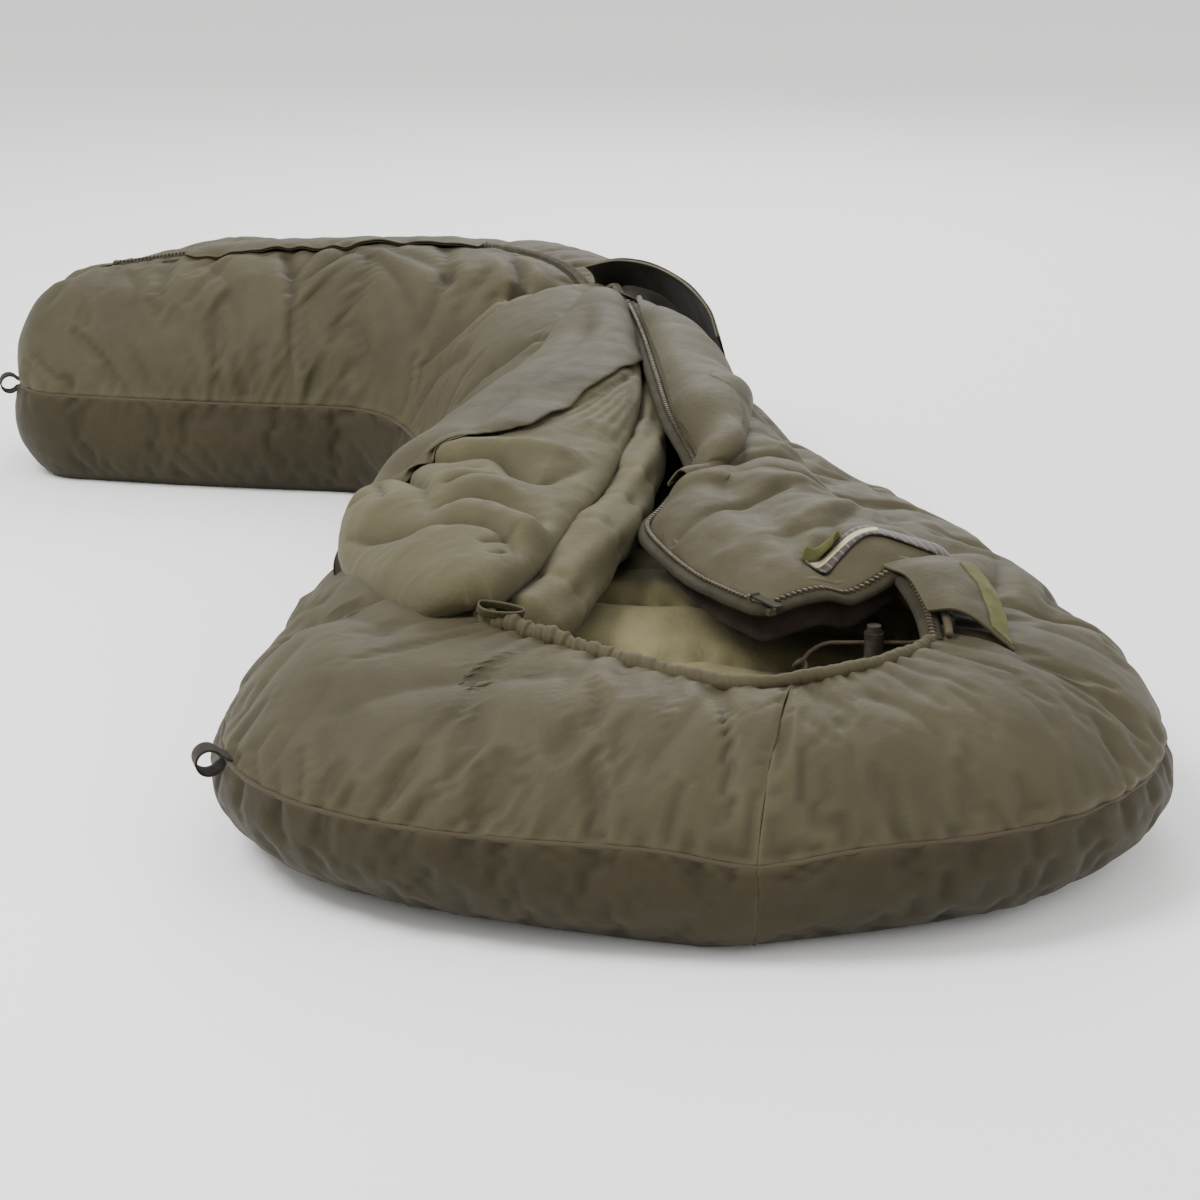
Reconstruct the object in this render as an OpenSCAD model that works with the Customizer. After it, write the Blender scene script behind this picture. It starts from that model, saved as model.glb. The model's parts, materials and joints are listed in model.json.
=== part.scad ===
// Insulated mummy sleeping bag with a centre zip, lying open on the ground with its legs turned aside.
// Millimetres. +Z is up and the ground is z = 0. The hood points to -Y and the foot end to -X.
// The origin is on the ground, under the middle of the bag's trunk.

/* [Trunk and hood] */
// Half of the width at the shoulders, measured on the side seam
shoulder_half = 388; // [370:1:400]
// From the shoulder line to the crown of the hood
hood_reach = 274; // [262:1:286]
// Height of the side seam above the ground
seam_z = 90; // [84:1:96]
// Height of the padded ring around the hood opening
hood_top = 184; // [178:1:190]

/* [Legs] */
// Radius in plan of the rounded end about which the legs turn
knuckle_r = 184; // [176:1:188]
// Length of the legs from the pivot to the foot end
leg_length = 668; // [640:4:680]
// Height of the legs' ridge
leg_top = 272; // [264:1:276]
// Half of the width of the legs at the calf
calf_half = 198; // [190:1:202]

/* [Fabric and seams] */
// Thickness of a shell or liner layer, with its hem allowances
cloth = 1.6; // [1.2:0.1:1.8]
// Radius of the seam piping
piping_r = 2; // [1.6:0.1:2.2]

/* [Zip] */
// Distance between teeth on one tape
tooth_pitch = 6; // [5:0.5:8]
// Width of the zip tape on one side
tape_w = 15; // [12:1:16]

/* [Drawcord] */
// Radius of the hood drawcord
cord_r = 1.8; // [1.5:0.1:2]
// Radius of the cord lock's barrel
lock_r = 8; // [7.5:0.1:8.5]
// Travel of the cord lock's plunger
plunger_travel = 5; // [4:0.5:5.5]

/* [Loops] */
// Inner radius of the webbing loops
loop_r = 9; // [8:0.5:10]
// Width of the webbing loops
loop_w = 20; // [16:1:24]

/* [Hidden] */

shell_tone = [0.46, 0.43, 0.36];
liner_tone = [0.55, 0.53, 0.42];
fill_tone = [0.86, 0.86, 0.83];
tape_tone = [0.24, 0.22, 0.19];
tooth_tone = [0.42, 0.40, 0.34];
webbing_tone = [0.22, 0.22, 0.17];

// ---- numbers and curves ----

function mix(a, b, t) = a + (b - a) * t;
function flat(v) = [v.x, v.y, 0];
function unit(v) = v / norm(v);
function sum_of(list, i = 0) = i >= len(list) - 1 ? list[i] : list[i] + sum_of(list, i + 1);
function middle(list) = sum_of(list) / len(list);
function reversed(list) = [for (i = [len(list) - 1 : -1 : 0]) list[i]];

// A point or number on a smooth curve through the list, at u counted in list steps.
function through(list, u) =
    let (n = len(list), i = max(0, min(n - 2, floor(u))), t = u - i,
         a = list[max(0, i - 1)], b = list[i], c = list[i + 1], d = list[min(n - 1, i + 2)])
    0.5 * (2 * b + (c - a) * t + (2 * a - 5 * b + 4 * c - d) * t * t
        + (3 * b - a - 3 * c + d) * t * t * t);
function curve(list, steps) = [for (i = [0 : steps]) through(list, i * (len(list) - 1) / steps)];

// Row k of a table of stations, at the value y of the first row. Stations are evenly spaced in y.
function station(table, y, k) =
    let (n = len(table), span = table[n - 1][0] - table[0][0])
    through([for (row = table) row[k]], (y - table[0][0]) / span * (n - 1));

function lengths(path, i = 0, so_far = 0) =
    i >= len(path) - 1 ? [so_far]
    : concat([so_far], lengths(path, i + 1, so_far + norm(path[i + 1] - path[i])));
function step_at(sums, s, i = 0) = i >= len(sums) - 2 || sums[i + 1] > s ? i : step_at(sums, s, i + 1);
// [point, direction] at arc length s of a polyline.
function along(path, sums, s) =
    let (i = step_at(sums, s), d = path[i + 1] - path[i])
    [path[i] + unit(d) * (s - sums[i]), unit(d)];

// ---- solids ----

function newell(loop) = sum_of([for (i = [0 : len(loop) - 1]) cross(loop[i], loop[(i + 1) % len(loop)])]);

// A closed solid through a list of closed loops with the same number of points.
module loft(loops) {
    n = len(loops[0]);
    m = len(loops);
    forward = newell(loops[0]) * (middle(loops[1]) - middle(loops[0])) > 0;
    sides = [for (j = [0 : m - 2], i = [0 : n - 1])
        let (a = j * n + i, b = j * n + (i + 1) % n) each [[a, a + n, b + n], [a, b + n, b]]];
    caps = [[for (i = [0 : n - 1]) i], [for (i = [n - 1 : -1 : 0]) (m - 1) * n + i]];
    faces = concat(sides, caps);
    polyhedron(points = [for (loop = loops) each loop],
        faces = forward ? faces : [for (f = faces) reversed(f)], convexity = 8);
}

// Loops for a bar with the section [across, up] swept along a path that never runs straight up.
function swept(path, section) = [for (i = [0 : len(path) - 1])
    let (d = unit(path[min(i + 1, len(path) - 1)] - path[max(i - 1, 0)]),
         side = unit([d.y, -d.x, 0]), up = cross(side, d))
    [for (p = section) path[i] + side * p[0] + up * p[1]]];
function ring_of(r, n) = [for (k = [0 : n - 1]) r * [cos(k * 360 / n), sin(k * 360 / n)]];
function bar(x0, x1, z0, z1) = [[x0, z0], [x1, z0], [x1, z1], [x0, z1]];

// ---- the trunk's plan and profile ----

shoulder_y = -600;
trunk_mid = 75;
crown_shift = 36;
seam_gap = piping_r + 0.5;
gap = 0.6;

// Stations of the trunk from the shoulders to the bend: y, middle x, half width.
trunk = [[shoulder_y, trunk_mid, shoulder_half], [-440, 68, 366], [-280, 62, 328], [-120, 48, 268],
    [40, 28, 212], [200, -6, 186], [360, -40, 182], [520, -60, 184]];

// The side seam from the crown of the hood to the bend; side is 1 on the right and -1 on the left.
hood_steps = 9;
side_steps = 13;
hood_power = 2.35;
crown_power = 6;
right_end_y = 410;
left_end_y = 316;
function rounded(x) = pow(max(x, 0), 2 / hood_power);
function hood_point(a, inset, side) =
    [trunk_mid + side * (shoulder_half - inset) * rounded(cos(a))
        + crown_shift * pow(rounded(sin(a)), crown_power),
     shoulder_y - (hood_reach - inset) * rounded(sin(a)), 0];
function side_point(y, inset, side) = [station(trunk, y, 1) + side * (station(trunk, y, 2) - inset), y, 0];
function end_y(side) = side > 0 ? right_end_y : left_end_y;
function trunk_side(inset, side) = concat(
    [for (i = [0 : hood_steps - 1]) hood_point(90 * (1 - i / hood_steps), inset, side)],
    [for (i = [0 : side_steps]) side_point(mix(shoulder_y, end_y(side), i / side_steps), inset, side)]);

// The legs turn about this point, just beyond the trunk's flat end.
pivot = [-45, 560, 0];
function trunk_outline(inset, z) =
    let (left = reversed(trunk_side(inset, -1)), right = trunk_side(inset, 1))
    [for (p = concat(left, [for (i = [1 : len(right) - 1]) right[i]])) at_z(p, z)];
function at_z(p, z) = [p.x, p.y, z];
function towards(p, q, d) = p + unit(flat(q) - flat(p)) * d;

// The inner edge of an upper panel: the hood's hem, then the front flap's fold, then the zip.
left_edge = [[-98, -600, 180], [-69, -420, 188], [-39, -230, 198], [-9, -40, 214],
    [16, 130, 236], [20, 250, 256], [2, 370, 264]];
right_edge = [[286, -600, 180], [242, -420, 188], [196, -230, 198], [150, -40, 214],
    [106, 120, 236], [46, 250, 256], [28, 378, 264]];
edge_last = 6;
left_hem_power = 1.8;
right_hem_power = 1.2;
function edge(side) = side > 0 ? right_edge : left_edge;
hem_front = [110, -750, hood_top - 10];
function hem_point(a, side) =
    let (power = side > 0 ? right_hem_power : left_hem_power, end = edge(side)[0],
         c = pow(cos(a), power), s = pow(sin(a), power))
    [mix(hem_front.x, end.x, c), mix(end.y, hem_front.y, s), mix(hem_front.z, end.z, c)];
function inner_point(i, side) =
    i < hood_steps ? hem_point(90 * (1 - i / hood_steps), side)
    : through(edge(side), (i - hood_steps) / side_steps * edge_last);

// ---- upper panels of hood and trunk ----

// The curved top of a panel section, from the seam at p (a = 0) to the inner edge at q (a = 90).
// The run inwards is part round (circle_share) and part even.
profile_steps = 6;
circle_share = 0.55;
rise_power = 0.85;
low_z = seam_z + seam_gap;
function panel_at(p, q, a, drop) =
    let (lean = mix(a / 90, 1 - cos(a), circle_share))
    [mix(p.x, q.x, lean), mix(p.y, q.y, lean), mix(low_z, q.z - drop, pow(sin(a), rise_power))];
function panel_curve(p, q, drop) =
    [for (k = [0 : profile_steps]) panel_at(p, q, 90 * k / profile_steps, drop)];

fill_z = low_z + cloth + 2 * gap;
fill_inset = cloth + 9 * gap;
fill_drop = cloth + 5 * gap;
fill_sink = 3 * gap;
function shell_section(p, q) =
    concat(panel_curve(p, q, 0), reversed(panel_curve(towards(p, q, cloth), q, cloth)));
function fill_section(p, q) =
    let (a = towards(p, q, 3 * cloth), b = towards(q, p, fill_inset))
    concat([for (v = panel_curve(a, b, fill_drop)) at_z(v, max(v.z - fill_sink, fill_z + gap))],
        [at_z(b, fill_z), at_z(mix(a, b, 0.5), fill_z), at_z(a, fill_z)]);
// The liner's floor and its wall up the inner edge, starting at the corner between them.
function liner_section(p, q) =
    let (a = towards(p, q, 4 * cloth), b = towards(q, p, cloth), top = q.z - 2 * cloth)
    [at_z(b, low_z + cloth), at_z(a, low_z + cloth), at_z(a, low_z),
        at_z(q, low_z), at_z(q, top), at_z(b, top)];
// The insulation stops just short of the panel's two ends.
function fill_shift(i, last, side) = i == 0 ? [side * gap, 0, 0] : i == last ? [0, -gap, 0] : [0, 0, 0];

// Half of the gap between the two halves on the crown's seam.
crown_gap = 0.2;
// Layer 0 is the shell, 1 the insulation and 2 the liner.
module upper_panel(side, layer) {
    seam = trunk_side(0, side);
    last = len(seam) - 1;
    translate([side * crown_gap, 0, 0])
        loft([for (i = [0 : last])
            let (p = seam[i], q = inner_point(i, side))
            layer == 0 ? shell_section(p, q)
                : layer == 1 ? [for (v = fill_section(p, q)) v + fill_shift(i, last, side)]
                : liner_section(p, q)]);
}
module upper_shell(side) { color(shell_tone) upper_panel(side, 0); }
module upper_insulation(side) { color(fill_tone) upper_panel(side, 1); }
module upper_liner(side) { color(liner_tone) upper_panel(side, 2); }

// ---- base of hood and trunk ----

base_top = seam_z - seam_gap;
foot_inset = 36;
tray_levels = [0, 0.18, 0.45, 0.75, 1];
tray_power = 2.2;
function tray_inset(t) = foot_inset * pow(1 - t, tray_power);
function tray_ring(t, inset, top) = trunk_outline(tray_inset(t) + inset, mix(inset, top, t));

module base_shell() {
    color(shell_tone) loft(concat(
        [for (t = tray_levels) tray_ring(t, 0, base_top)],
        [for (t = reversed(tray_levels)) tray_ring(t, cloth, base_top)]));
}
liner_low = base_top - cloth;
module base_insulation() {
    color(fill_tone) loft([for (t = tray_levels) tray_ring(t, cloth + gap, liner_low - gap)]);
}
module base_liner() {
    color(liner_tone) loft([trunk_outline(2 * cloth, liner_low), trunk_outline(2 * cloth, base_top)]);
}
module side_seam_piping() {
    left = reversed(trunk_side(0, -1));
    right = trunk_side(0, 1);
    path = [for (p = concat(left, [for (i = [1 : len(right) - 1]) right[i]])) at_z(p, seam_z)];
    color(tape_tone) loft(swept(path, ring_of(piping_r, 8)));
}

// ---- webbing loops ----

// A webbing loop whose bore lies along +Y, centred on the origin.
webbing = 1.6;
module loop_ring() {
    color(webbing_tone) rotate([90, 0, 0]) difference() {
        cylinder(r = loop_r + webbing, h = loop_w, center = true, $fn = 48);
        cylinder(r = loop_r, h = loop_w + 2, center = true, $fn = 48);
    }
}
loop_out = loop_r + webbing + piping_r + 2 * gap;
loop_turn = 15;
module shoulder_loop() {
    p = hood_point(loop_turn, 0, -1);
    t = unit(hood_point(loop_turn + 1, 0, -1) - hood_point(loop_turn - 1, 0, -1));
    translate(at_z(p, seam_z) + loop_out * [t.y, -t.x, 0]) rotate([0, 0, atan2(t.y, t.x) - 90]) loop_ring();
}

// ---- hem, drawcord and draft tube ----

hem_r = 7;
hem_bore = 3.4;
hem_steps = 10;
hem_mouth = 40;
hem_in = hem_r + 3;
hem_sink = 6;
function hem_centre(a, side) =
    let (p = hem_point(a, side), s = hood_point(a, 0, side))
    at_z(towards(s, p, norm(flat(p - s)) + hem_in), p.z - hem_sink);
hem_path = concat([for (i = [0 : hem_steps]) hem_centre(90 * i / hem_steps, -1)],
    [for (i = [1 : hem_steps]) hem_centre(90 * (1 - i / hem_steps), 1)]);
// The hem's channel is a tube with a slot along its underside.
arc_steps = 10;
function arc_section(r) = [for (k = [0 : arc_steps])
    let (a = mix(-90 + hem_mouth / 2, 270 - hem_mouth / 2, k / arc_steps)) r * [cos(a), sin(a)]];
module hood_hem() {
    color(shell_tone) loft(swept(hem_path, concat(arc_section(hem_r), reversed(arc_section(hem_bore)))));
}
cord_line = [0, -600, 158];
cord_end = 172;
cord_exit = [[272, -597, 166], [262, -599, 160], at_z(cord_line + [252, 0, 0], cord_line.z),
    at_z(cord_line + [cord_end, 0, 0], cord_line.z)];
module hood_drawcord() {
    color(tape_tone) loft(swept(concat(hem_path, cord_exit), ring_of(cord_r, 8)));
}
// The short loop of cord left standing at the hem's left end.
loop_long = 22;
loop_short = 13;
loop_at = [-130, -622, 186];
loop_mouth = 10;
loop_steps = 28;
module drawcord_loop() {
    path = [for (i = [0 : loop_steps])
        let (a = mix(loop_mouth, 360 - loop_mouth, i / loop_steps))
        [loop_long * cos(a), loop_short * sin(a), 0]];
    color(tape_tone) translate(loop_at) rotate([0, -6, 20]) loft(swept(path, ring_of(cord_r, 8)));
}
tube_r = 15;
tube_sink = 30;
tube_steps = 10;
tube_first = 0.5;
tube_last = 3.9;
module draft_tube() {
    path = [for (i = [0 : tube_steps])
        let (q = through(left_edge, mix(tube_first, tube_last, i / tube_steps)))
        q + [tube_r + 2, 0, -tube_sink]];
    color(liner_tone) loft(swept(path, ring_of(tube_r, 14)));
}

// ---- zips ----

// One tooth across +X, on the edge of a tape that ends at x = 0.
tooth_len = 4.2;
tooth_wide = 2.2;
tooth_half = 1.3;
tooth_off = 0.2;
module tooth() {
    translate([tooth_off, -tooth_wide / 2, -tooth_half]) cube([tooth_len, tooth_wide, 2 * tooth_half]);
}
// Teeth along a path, pointing across it; side is 1 for the path's right and -1 for its left.
module teeth(path, side) {
    sums = lengths(path);
    total = sums[len(sums) - 1];
    color(tooth_tone) for (s = [tooth_pitch / 2 : tooth_pitch : total - tooth_pitch / 2]) {
        here = along(path, sums, s);
        d = here[1];
        translate(here[0]) rotate([0, 0, atan2(d.y, d.x) - 90 * side]) tooth();
    }
}
tape_half = 0.5;
// A tape on one side of a path: side is 1 when the tape is on the path's left and the teeth on its right.
module tape(path, side) {
    section = side > 0 ? bar(-tape_w, 0, -tape_half, tape_half) : bar(0, tape_w, -tape_half, tape_half);
    color(tape_tone) loft(swept(path, section));
}

// The closed zip: two narrow tapes with interlocking teeth between them.
closed_half = 2.4;
closed_tape = 8;
module closed_tapes(path) {
    color(tape_tone) for (side = [-1, 1])
        loft(swept(path, side > 0 ? bar(closed_half, closed_half + closed_tape, -tape_half, tape_half)
            : bar(-closed_half - closed_tape, -closed_half, -tape_half, tape_half)));
}
module closed_teeth(path) {
    sums = lengths(path);
    total = sums[len(sums) - 1];
    color(tooth_tone) for (s = [tooth_pitch / 2 : tooth_pitch / 2 : total - tooth_pitch / 2]) {
        here = along(path, sums, s);
        d = here[1];
        translate(here[0]) rotate([0, 0, atan2(d.y, d.x)])
            cube([tooth_wide, 2 * (closed_half - tooth_off), 2 * tooth_half], center = true);
    }
}
trunk_zip_first = 5;
trunk_zip_last = 5.95;
trunk_zip = [for (i = [0 : 6])
    let (u = mix(trunk_zip_first, trunk_zip_last, i / 6),
         a = through(left_edge, u), b = through(right_edge, u))
    (a + b) / 2 - [0, 0, 1]];
module trunk_zip_tape() { closed_tapes(trunk_zip); }
module trunk_zip_teeth() { closed_teeth(trunk_zip); }

// ---- left front flap, folded out over the left side with its liner up ----

function seam_at(u, side) = side_point(mix(shoulder_y, end_y(side), u / edge_last), 0, side);
function over_panel(u, side, a, lift) =
    panel_at(seam_at(u, side), through(edge(side), u), a, 0) + [0, 0, lift];
left_first = 0.12;
left_last = 4.4;
left_steps = 12;
fold_a = 87;
// How far out the flap reaches, as an angle of the panel's profile, at even steps along it.
left_reach = [56, 42, 39, 39, 44, 57];
flap_fill = 13;
flap_clear = 3;
function left_a(j) = through(left_reach, j / left_steps * (len(left_reach) - 1));
function left_layer(j, low, high, trim) =
    let (u = mix(left_first, left_last, j / left_steps))
    let (from = left_a(j) + trim)
    concat([for (k = [0 : profile_steps]) over_panel(u, -1, mix(from, fold_a, k / profile_steps), low)],
        [for (k = [profile_steps : -1 : 0]) over_panel(u, -1, mix(from, fold_a, k / profile_steps), high)]);
module left_slab(low, high, trim) { loft([for (j = [0 : left_steps]) left_layer(j, low, high, trim)]); }
flap_1 = flap_clear + cloth;
flap_2 = flap_1 + gap;
flap_3 = flap_2 + flap_fill;
flap_4 = flap_3 + gap;
flap_5 = flap_4 + cloth;
module left_flap_shell() { color(shell_tone) left_slab(flap_clear, flap_1, 0); }
module left_flap_insulation() { color(fill_tone) left_slab(flap_2, flap_3, 1); }
module left_flap_liner() { color(liner_tone) left_slab(flap_4, flap_5, 0); }
// The left zip hangs beyond the flap's outer edge and a little below it.
left_zip_out = 8;
left_zip_sink = 9;
left_zip_turn = 5;
left_zip_path = [for (j = [0 : left_steps])
    let (u = mix(left_first, left_last, j / left_steps), lift = flap_2 + flap_fill / 2,
         a = over_panel(u, -1, left_a(j), lift), b = over_panel(u, -1, left_a(j) + left_zip_turn, lift))
    towards(b, a, norm(flat(a - b)) + tape_w + left_zip_out) - [0, 0, left_zip_sink]];
module left_zip_tape() { tape(left_zip_path, -1); }
module left_zip_teeth() { teeth(left_zip_path, -1); }

// ---- right front flap, lying over the right of the opening ----

right_zip_line = [[139, -606, 188], [116, -571, 189], [93, -536, 190], [70, -501, 191], [52, -420, 193],
    [56, -330, 198], [76, -240, 208], [72, -130, 222], [66, -40, 234], [62, 60, 243], [62, 118, 247]];
right_steps = 14;
right_first = 0.05;
right_last = 3.98;
fold_in = 4;
flap_lift = 3;
// The tape's seam allowance, wide enough for the zip's waves.
flap_seam = 9;
right_zip_path = curve(right_zip_line, 2 * right_steps);
function right_fold(t) = through(right_edge, mix(right_first, right_last, t)) + [-fold_in, 0, flap_lift];
function right_free(t) =
    let (p = through(right_zip_line, t * (len(right_zip_line) - 1)))
    at_z(towards(p, right_fold(t), tape_w + flap_seam), p.z - 2);
right_profile = 5;
// How much the flap bulges between its fold and its free edge.
flap_bulge = 9;
function right_at(t, k, lift) =
    let (s = k / right_profile, p = mix(right_free(t), right_fold(t), s))
    p + [0, 0, lift + flap_bulge * sin(180 * s)];
function right_layer(t, low, high, trim) =
    concat([for (k = [0 : right_profile]) right_at(t, k == 0 ? trim : k, low)],
        [for (k = [right_profile : -1 : 0]) right_at(t, k == 0 ? trim : k, high)]);
module right_slab(low, high, trim) {
    loft([for (j = [0 : right_steps]) right_layer(j / right_steps, low, high, trim)]);
}
right_fill = 10;
right_1 = cloth;
right_gap = 1.6;
right_2 = right_1 + right_gap;
right_3 = right_2 + right_fill;
right_4 = right_3 + right_gap;
right_5 = right_4 + cloth;
module right_flap_liner() { color(liner_tone) right_slab(0, right_1, 0); }
module right_flap_insulation() { color(fill_tone) right_slab(right_2, right_3, 0.1); }
module right_flap_shell() { color(shell_tone) right_slab(right_4, right_5, 0); }
module right_zip_tape() { tape(right_zip_path, -1); }
module right_zip_teeth() { teeth(right_zip_path, -1); }
// The soft guard behind the teeth at the neck end.
guard_steps = 8;
guard_sink = 4;
guard_out = 7;
guard_in = 9;
module zip_guard_tape() {
    path = [for (i = [guard_steps + 1 : 2 * guard_steps]) right_zip_path[i] - [0, 0, guard_sink]];
    color(tape_tone) loft(swept(path, bar(-guard_out, guard_in, -tape_half, tape_half)));
}
stop_size = 5;
stop_off = 4;
module zip_top_stop() {
    d = unit(right_zip_line[1] - right_zip_line[0]);
    color(tooth_tone) translate(right_zip_line[0] - stop_off * d) rotate([0, 0, atan2(d.y, d.x)])
        translate([0, 1.5, 0]) cube([stop_size, stop_size + 2, stop_size], center = true);
}

// The storm flap lies folded back on the right flap.
storm_low = right_5 + 2;
storm_high = storm_low + 9;
storm_first = 0.06;
storm_last = 0.97;
storm_near = 0.03;
storm_far = 0.96;
function storm_section(t, low, high, s0, s1) = concat(
    [for (k = [0 : right_profile]) right_at(t, mix(s0, s1, k / right_profile) * right_profile, low)],
    [for (k = [right_profile : -1 : 0]) right_at(t, mix(s0, s1, k / right_profile) * right_profile, high)]);
module storm_flap() {
    color(shell_tone) loft([for (j = [0 : right_steps])
        let (t = mix(storm_first, storm_last, j / right_steps))
        storm_section(t, storm_low, storm_high, storm_near, storm_far)]);
}
ribbon_steps = 6;
ribbon_wide = 10;
ribbon_half = 0.6;
ribbon_at = 0.115;
ribbon_from = 0.08;
ribbon_to = 0.92;
ribbon_path = [for (k = [0 : ribbon_steps])
    right_at(ribbon_at, mix(ribbon_from, ribbon_to, k / ribbon_steps) * right_profile, storm_high + 3)];
module woven_ribbon() {
    color(tape_tone)
        loft(swept(ribbon_path, bar(-ribbon_wide / 2, ribbon_wide / 2, -ribbon_half, ribbon_half)));
}

// ---- neck tab ----

tab_len = 74;
tab_wide = 30;
tab_thick = 3;
tab_at = [236, -574, 214];
tab_turn = -72;
tab_droop = 8;
patch_len = 46;
patch_edge = 3;
patch_thick = 1.4;
module at_tab() { translate(tab_at) rotate([0, tab_droop, tab_turn]) children(); }
module neck_tab() {
    color(shell_tone) at_tab() translate([0, -tab_wide / 2, 0]) cube([tab_len, tab_wide, tab_thick]);
}
module hook_patch() {
    color(liner_tone) at_tab()
        translate([tab_len - patch_len - patch_edge, patch_edge - tab_wide / 2, tab_thick + gap / 2])
            cube([patch_len, tab_wide - 2 * patch_edge, patch_thick]);
}

// ---- sliders ----

plate_len = 15;
plate_wide = 13;
plate_t = 1.4;
plate_low = tooth_half + gap;
bar_r = 1;
bar_up = 3.4;
post_x = -3;
pin_z = plate_low + plate_t + bar_up;
ear = 1.4;
ear_in = 4.6;
pull_len = 34;
// A slider that travels along +X, with the wedge that joins its two plates at wedge_at.
module slider(wedge_at, wedge) {
    color(tooth_tone) {
        for (z = [-plate_low - plate_t, plate_low])
            translate([-plate_len / 2, -plate_wide / 2, z]) cube([plate_len, plate_wide, plate_t]);
        translate([wedge_at.x - wedge.x / 2, wedge_at.y - wedge.y / 2, -plate_low - plate_t / 2])
            cube([wedge.x, wedge.y, 2 * plate_low + plate_t]);
        for (side = [-1, 1])
            translate([post_x - 1.6, side * (ear_in + ear / 2) - ear / 2, plate_low])
                cube([3.2, ear, plate_t + bar_up + 1.6]);
        translate([post_x, 0, pin_z]) rotate([90, 0, 0])
            cylinder(r = bar_r, h = 2 * ear_in + ear, center = true, $fn = 24);
    }
}
module pull_tab() {
    color(tape_tone) translate([post_x, 0, pin_z]) rotate([90, 0, 0]) difference() {
        union() {
            cylinder(r = 2.3, h = 8, center = true, $fn = 32);
            translate([-pull_len, -0.8, -4]) cube([pull_len, 1.6, 8]);
        }
        cylinder(r = bar_r + 0.08, h = 10, center = true, $fn = 32);
    }
}
upper_slider_at = 24;
module on_right_zip() {
    d = unit(right_zip_line[1] - right_zip_line[0]);
    translate(right_zip_line[0] + upper_slider_at * d) rotate([0, -asin(d.z), atan2(d.y, d.x)]) children();
}
module upper_slider() { on_right_zip() slider([0, 6], [6, 1]); }
module upper_pull_tab() { on_right_zip() pull_tab(); }
module on_trunk_zip() {
    d = unit(trunk_zip[1] - trunk_zip[0]);
    translate(trunk_zip[0]) rotate([0, -asin(d.z), atan2(d.y, d.x)]) children();
}
module lower_slider() { on_trunk_zip() slider([-4, 0], [5, 3]); }
module lower_pull_tab() { on_trunk_zip() pull_tab(); }

// ---- cord lock, upright on the free end of the drawcord ----

lock_at = cord_line + [226, 0, 0];
lock_low = -14;
lock_high = 9;
lock_bore = lock_r - 2;
plunger_r = lock_bore - 0.1;
well_z = -12;
cord_hole = cord_r + 0.5;
plunger_low = -2.9;
wire_r = 0.4;
coil_r = plunger_r - 1.2;
plunger_high = lock_high + plunger_travel + 1;
module cord_lock_barrel() {
    color(tape_tone) translate(lock_at) difference() {
        translate([0, 0, lock_low]) cylinder(r = lock_r, h = lock_high - lock_low, $fn = 48);
        translate([0, 0, well_z]) cylinder(r = lock_bore, h = lock_high - well_z + 1, $fn = 48);
        rotate([0, 90, 0]) cylinder(r = cord_hole, h = 4 * lock_r, center = true, $fn = 32);
    }
}
module cord_lock_plunger() {
    color(tape_tone) translate(lock_at) difference() {
        translate([0, 0, plunger_low]) cylinder(r = plunger_r, h = plunger_high - plunger_low, $fn = 48);
        translate([-lock_r, -cord_hole, -cord_hole])
            cube([2 * lock_r, 2 * cord_hole, 2 * cord_hole + plunger_travel]);
    }
}
module cord_lock_spring() {
    turns = 3;
    steps = 40;
    play = 0.2;
    rise = plunger_low - well_z - 2 * (wire_r + play);
    path = [for (i = [0 : steps])
        let (a = 360 * turns * i / steps)
        [coil_r * cos(a), coil_r * sin(a), well_z + wire_r + play + rise * i / steps]];
    color(tooth_tone) translate(lock_at) loft(swept(path, ring_of(wire_r, 6)));
}

// ---- legs, drawn along +X from the pivot and then turned into place ----

leg_angle = 172.3;
leg_seam_z = 110;
leg_low = leg_seam_z + seam_gap;
foot_from = 556;
calf_rows = 5;
leg_half = [knuckle_r, mix(knuckle_r, calf_half, 0.6), calf_half, calf_half, calf_half - 3, calf_half - 12];
leg_tops = [leg_top - 4, leg_top, leg_top + 3, leg_top + 1, leg_top - 6, leg_top - 16];
dome_power = 2.4;
foot_power = 3;
function foot_part(u, inset) = (u - foot_from) / (leg_length - inset - foot_from);
function leg_width(u, inset) =
    u < 0 ? sqrt(max(0, pow(knuckle_r - inset, 2) - u * u))
    : u <= foot_from ? through(leg_half, u / foot_from * calf_rows) - inset
    : (leg_half[calf_rows] - inset) * pow(max(0, 1 - pow(foot_part(u, inset), foot_power)), 1 / foot_power);
function leg_reach(u, v, inset) =
    u < 0 ? norm([u, v]) / (knuckle_r - inset)
    : u <= foot_from ? abs(v) / leg_width(u, inset)
    : pow(pow(foot_part(u, inset), foot_power) + pow(abs(v) / (leg_half[calf_rows] - inset), foot_power),
        1 / foot_power);
function leg_ridge(u) = through(leg_tops, min(max(u, 0), foot_from) / foot_from * calf_rows);
function leg_height(u, v, inset, low) =
    let (r = min(1, leg_reach(u, v, inset)))
    mix(low, leg_ridge(u) - inset, pow(max(0, 1 - pow(r, dome_power)), 1 / dome_power));
function leg_stations(inset) = concat(
    [for (a = [4, 15, 30, 45, 60, 75]) -(knuckle_r - inset) * cos(a)],
    [for (i = [0 : calf_rows]) foot_from * i / calf_rows],
    [for (t = [0.3, 0.55, 0.75, 0.88, 0.96, 0.995]) mix(foot_from, leg_length - inset, t)]);
dome_steps = 14;
module leg_dome(inset, low, floor) {
    loft([for (u = leg_stations(inset))
        let (w = leg_width(u, inset))
        concat([for (k = [0 : dome_steps])
            let (v = w * sin(mix(-90, 90, k / dome_steps))) [u, v, leg_height(u, v, inset, low)]],
            [[u, w, floor], [u, -w, floor]])]);
}
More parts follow.
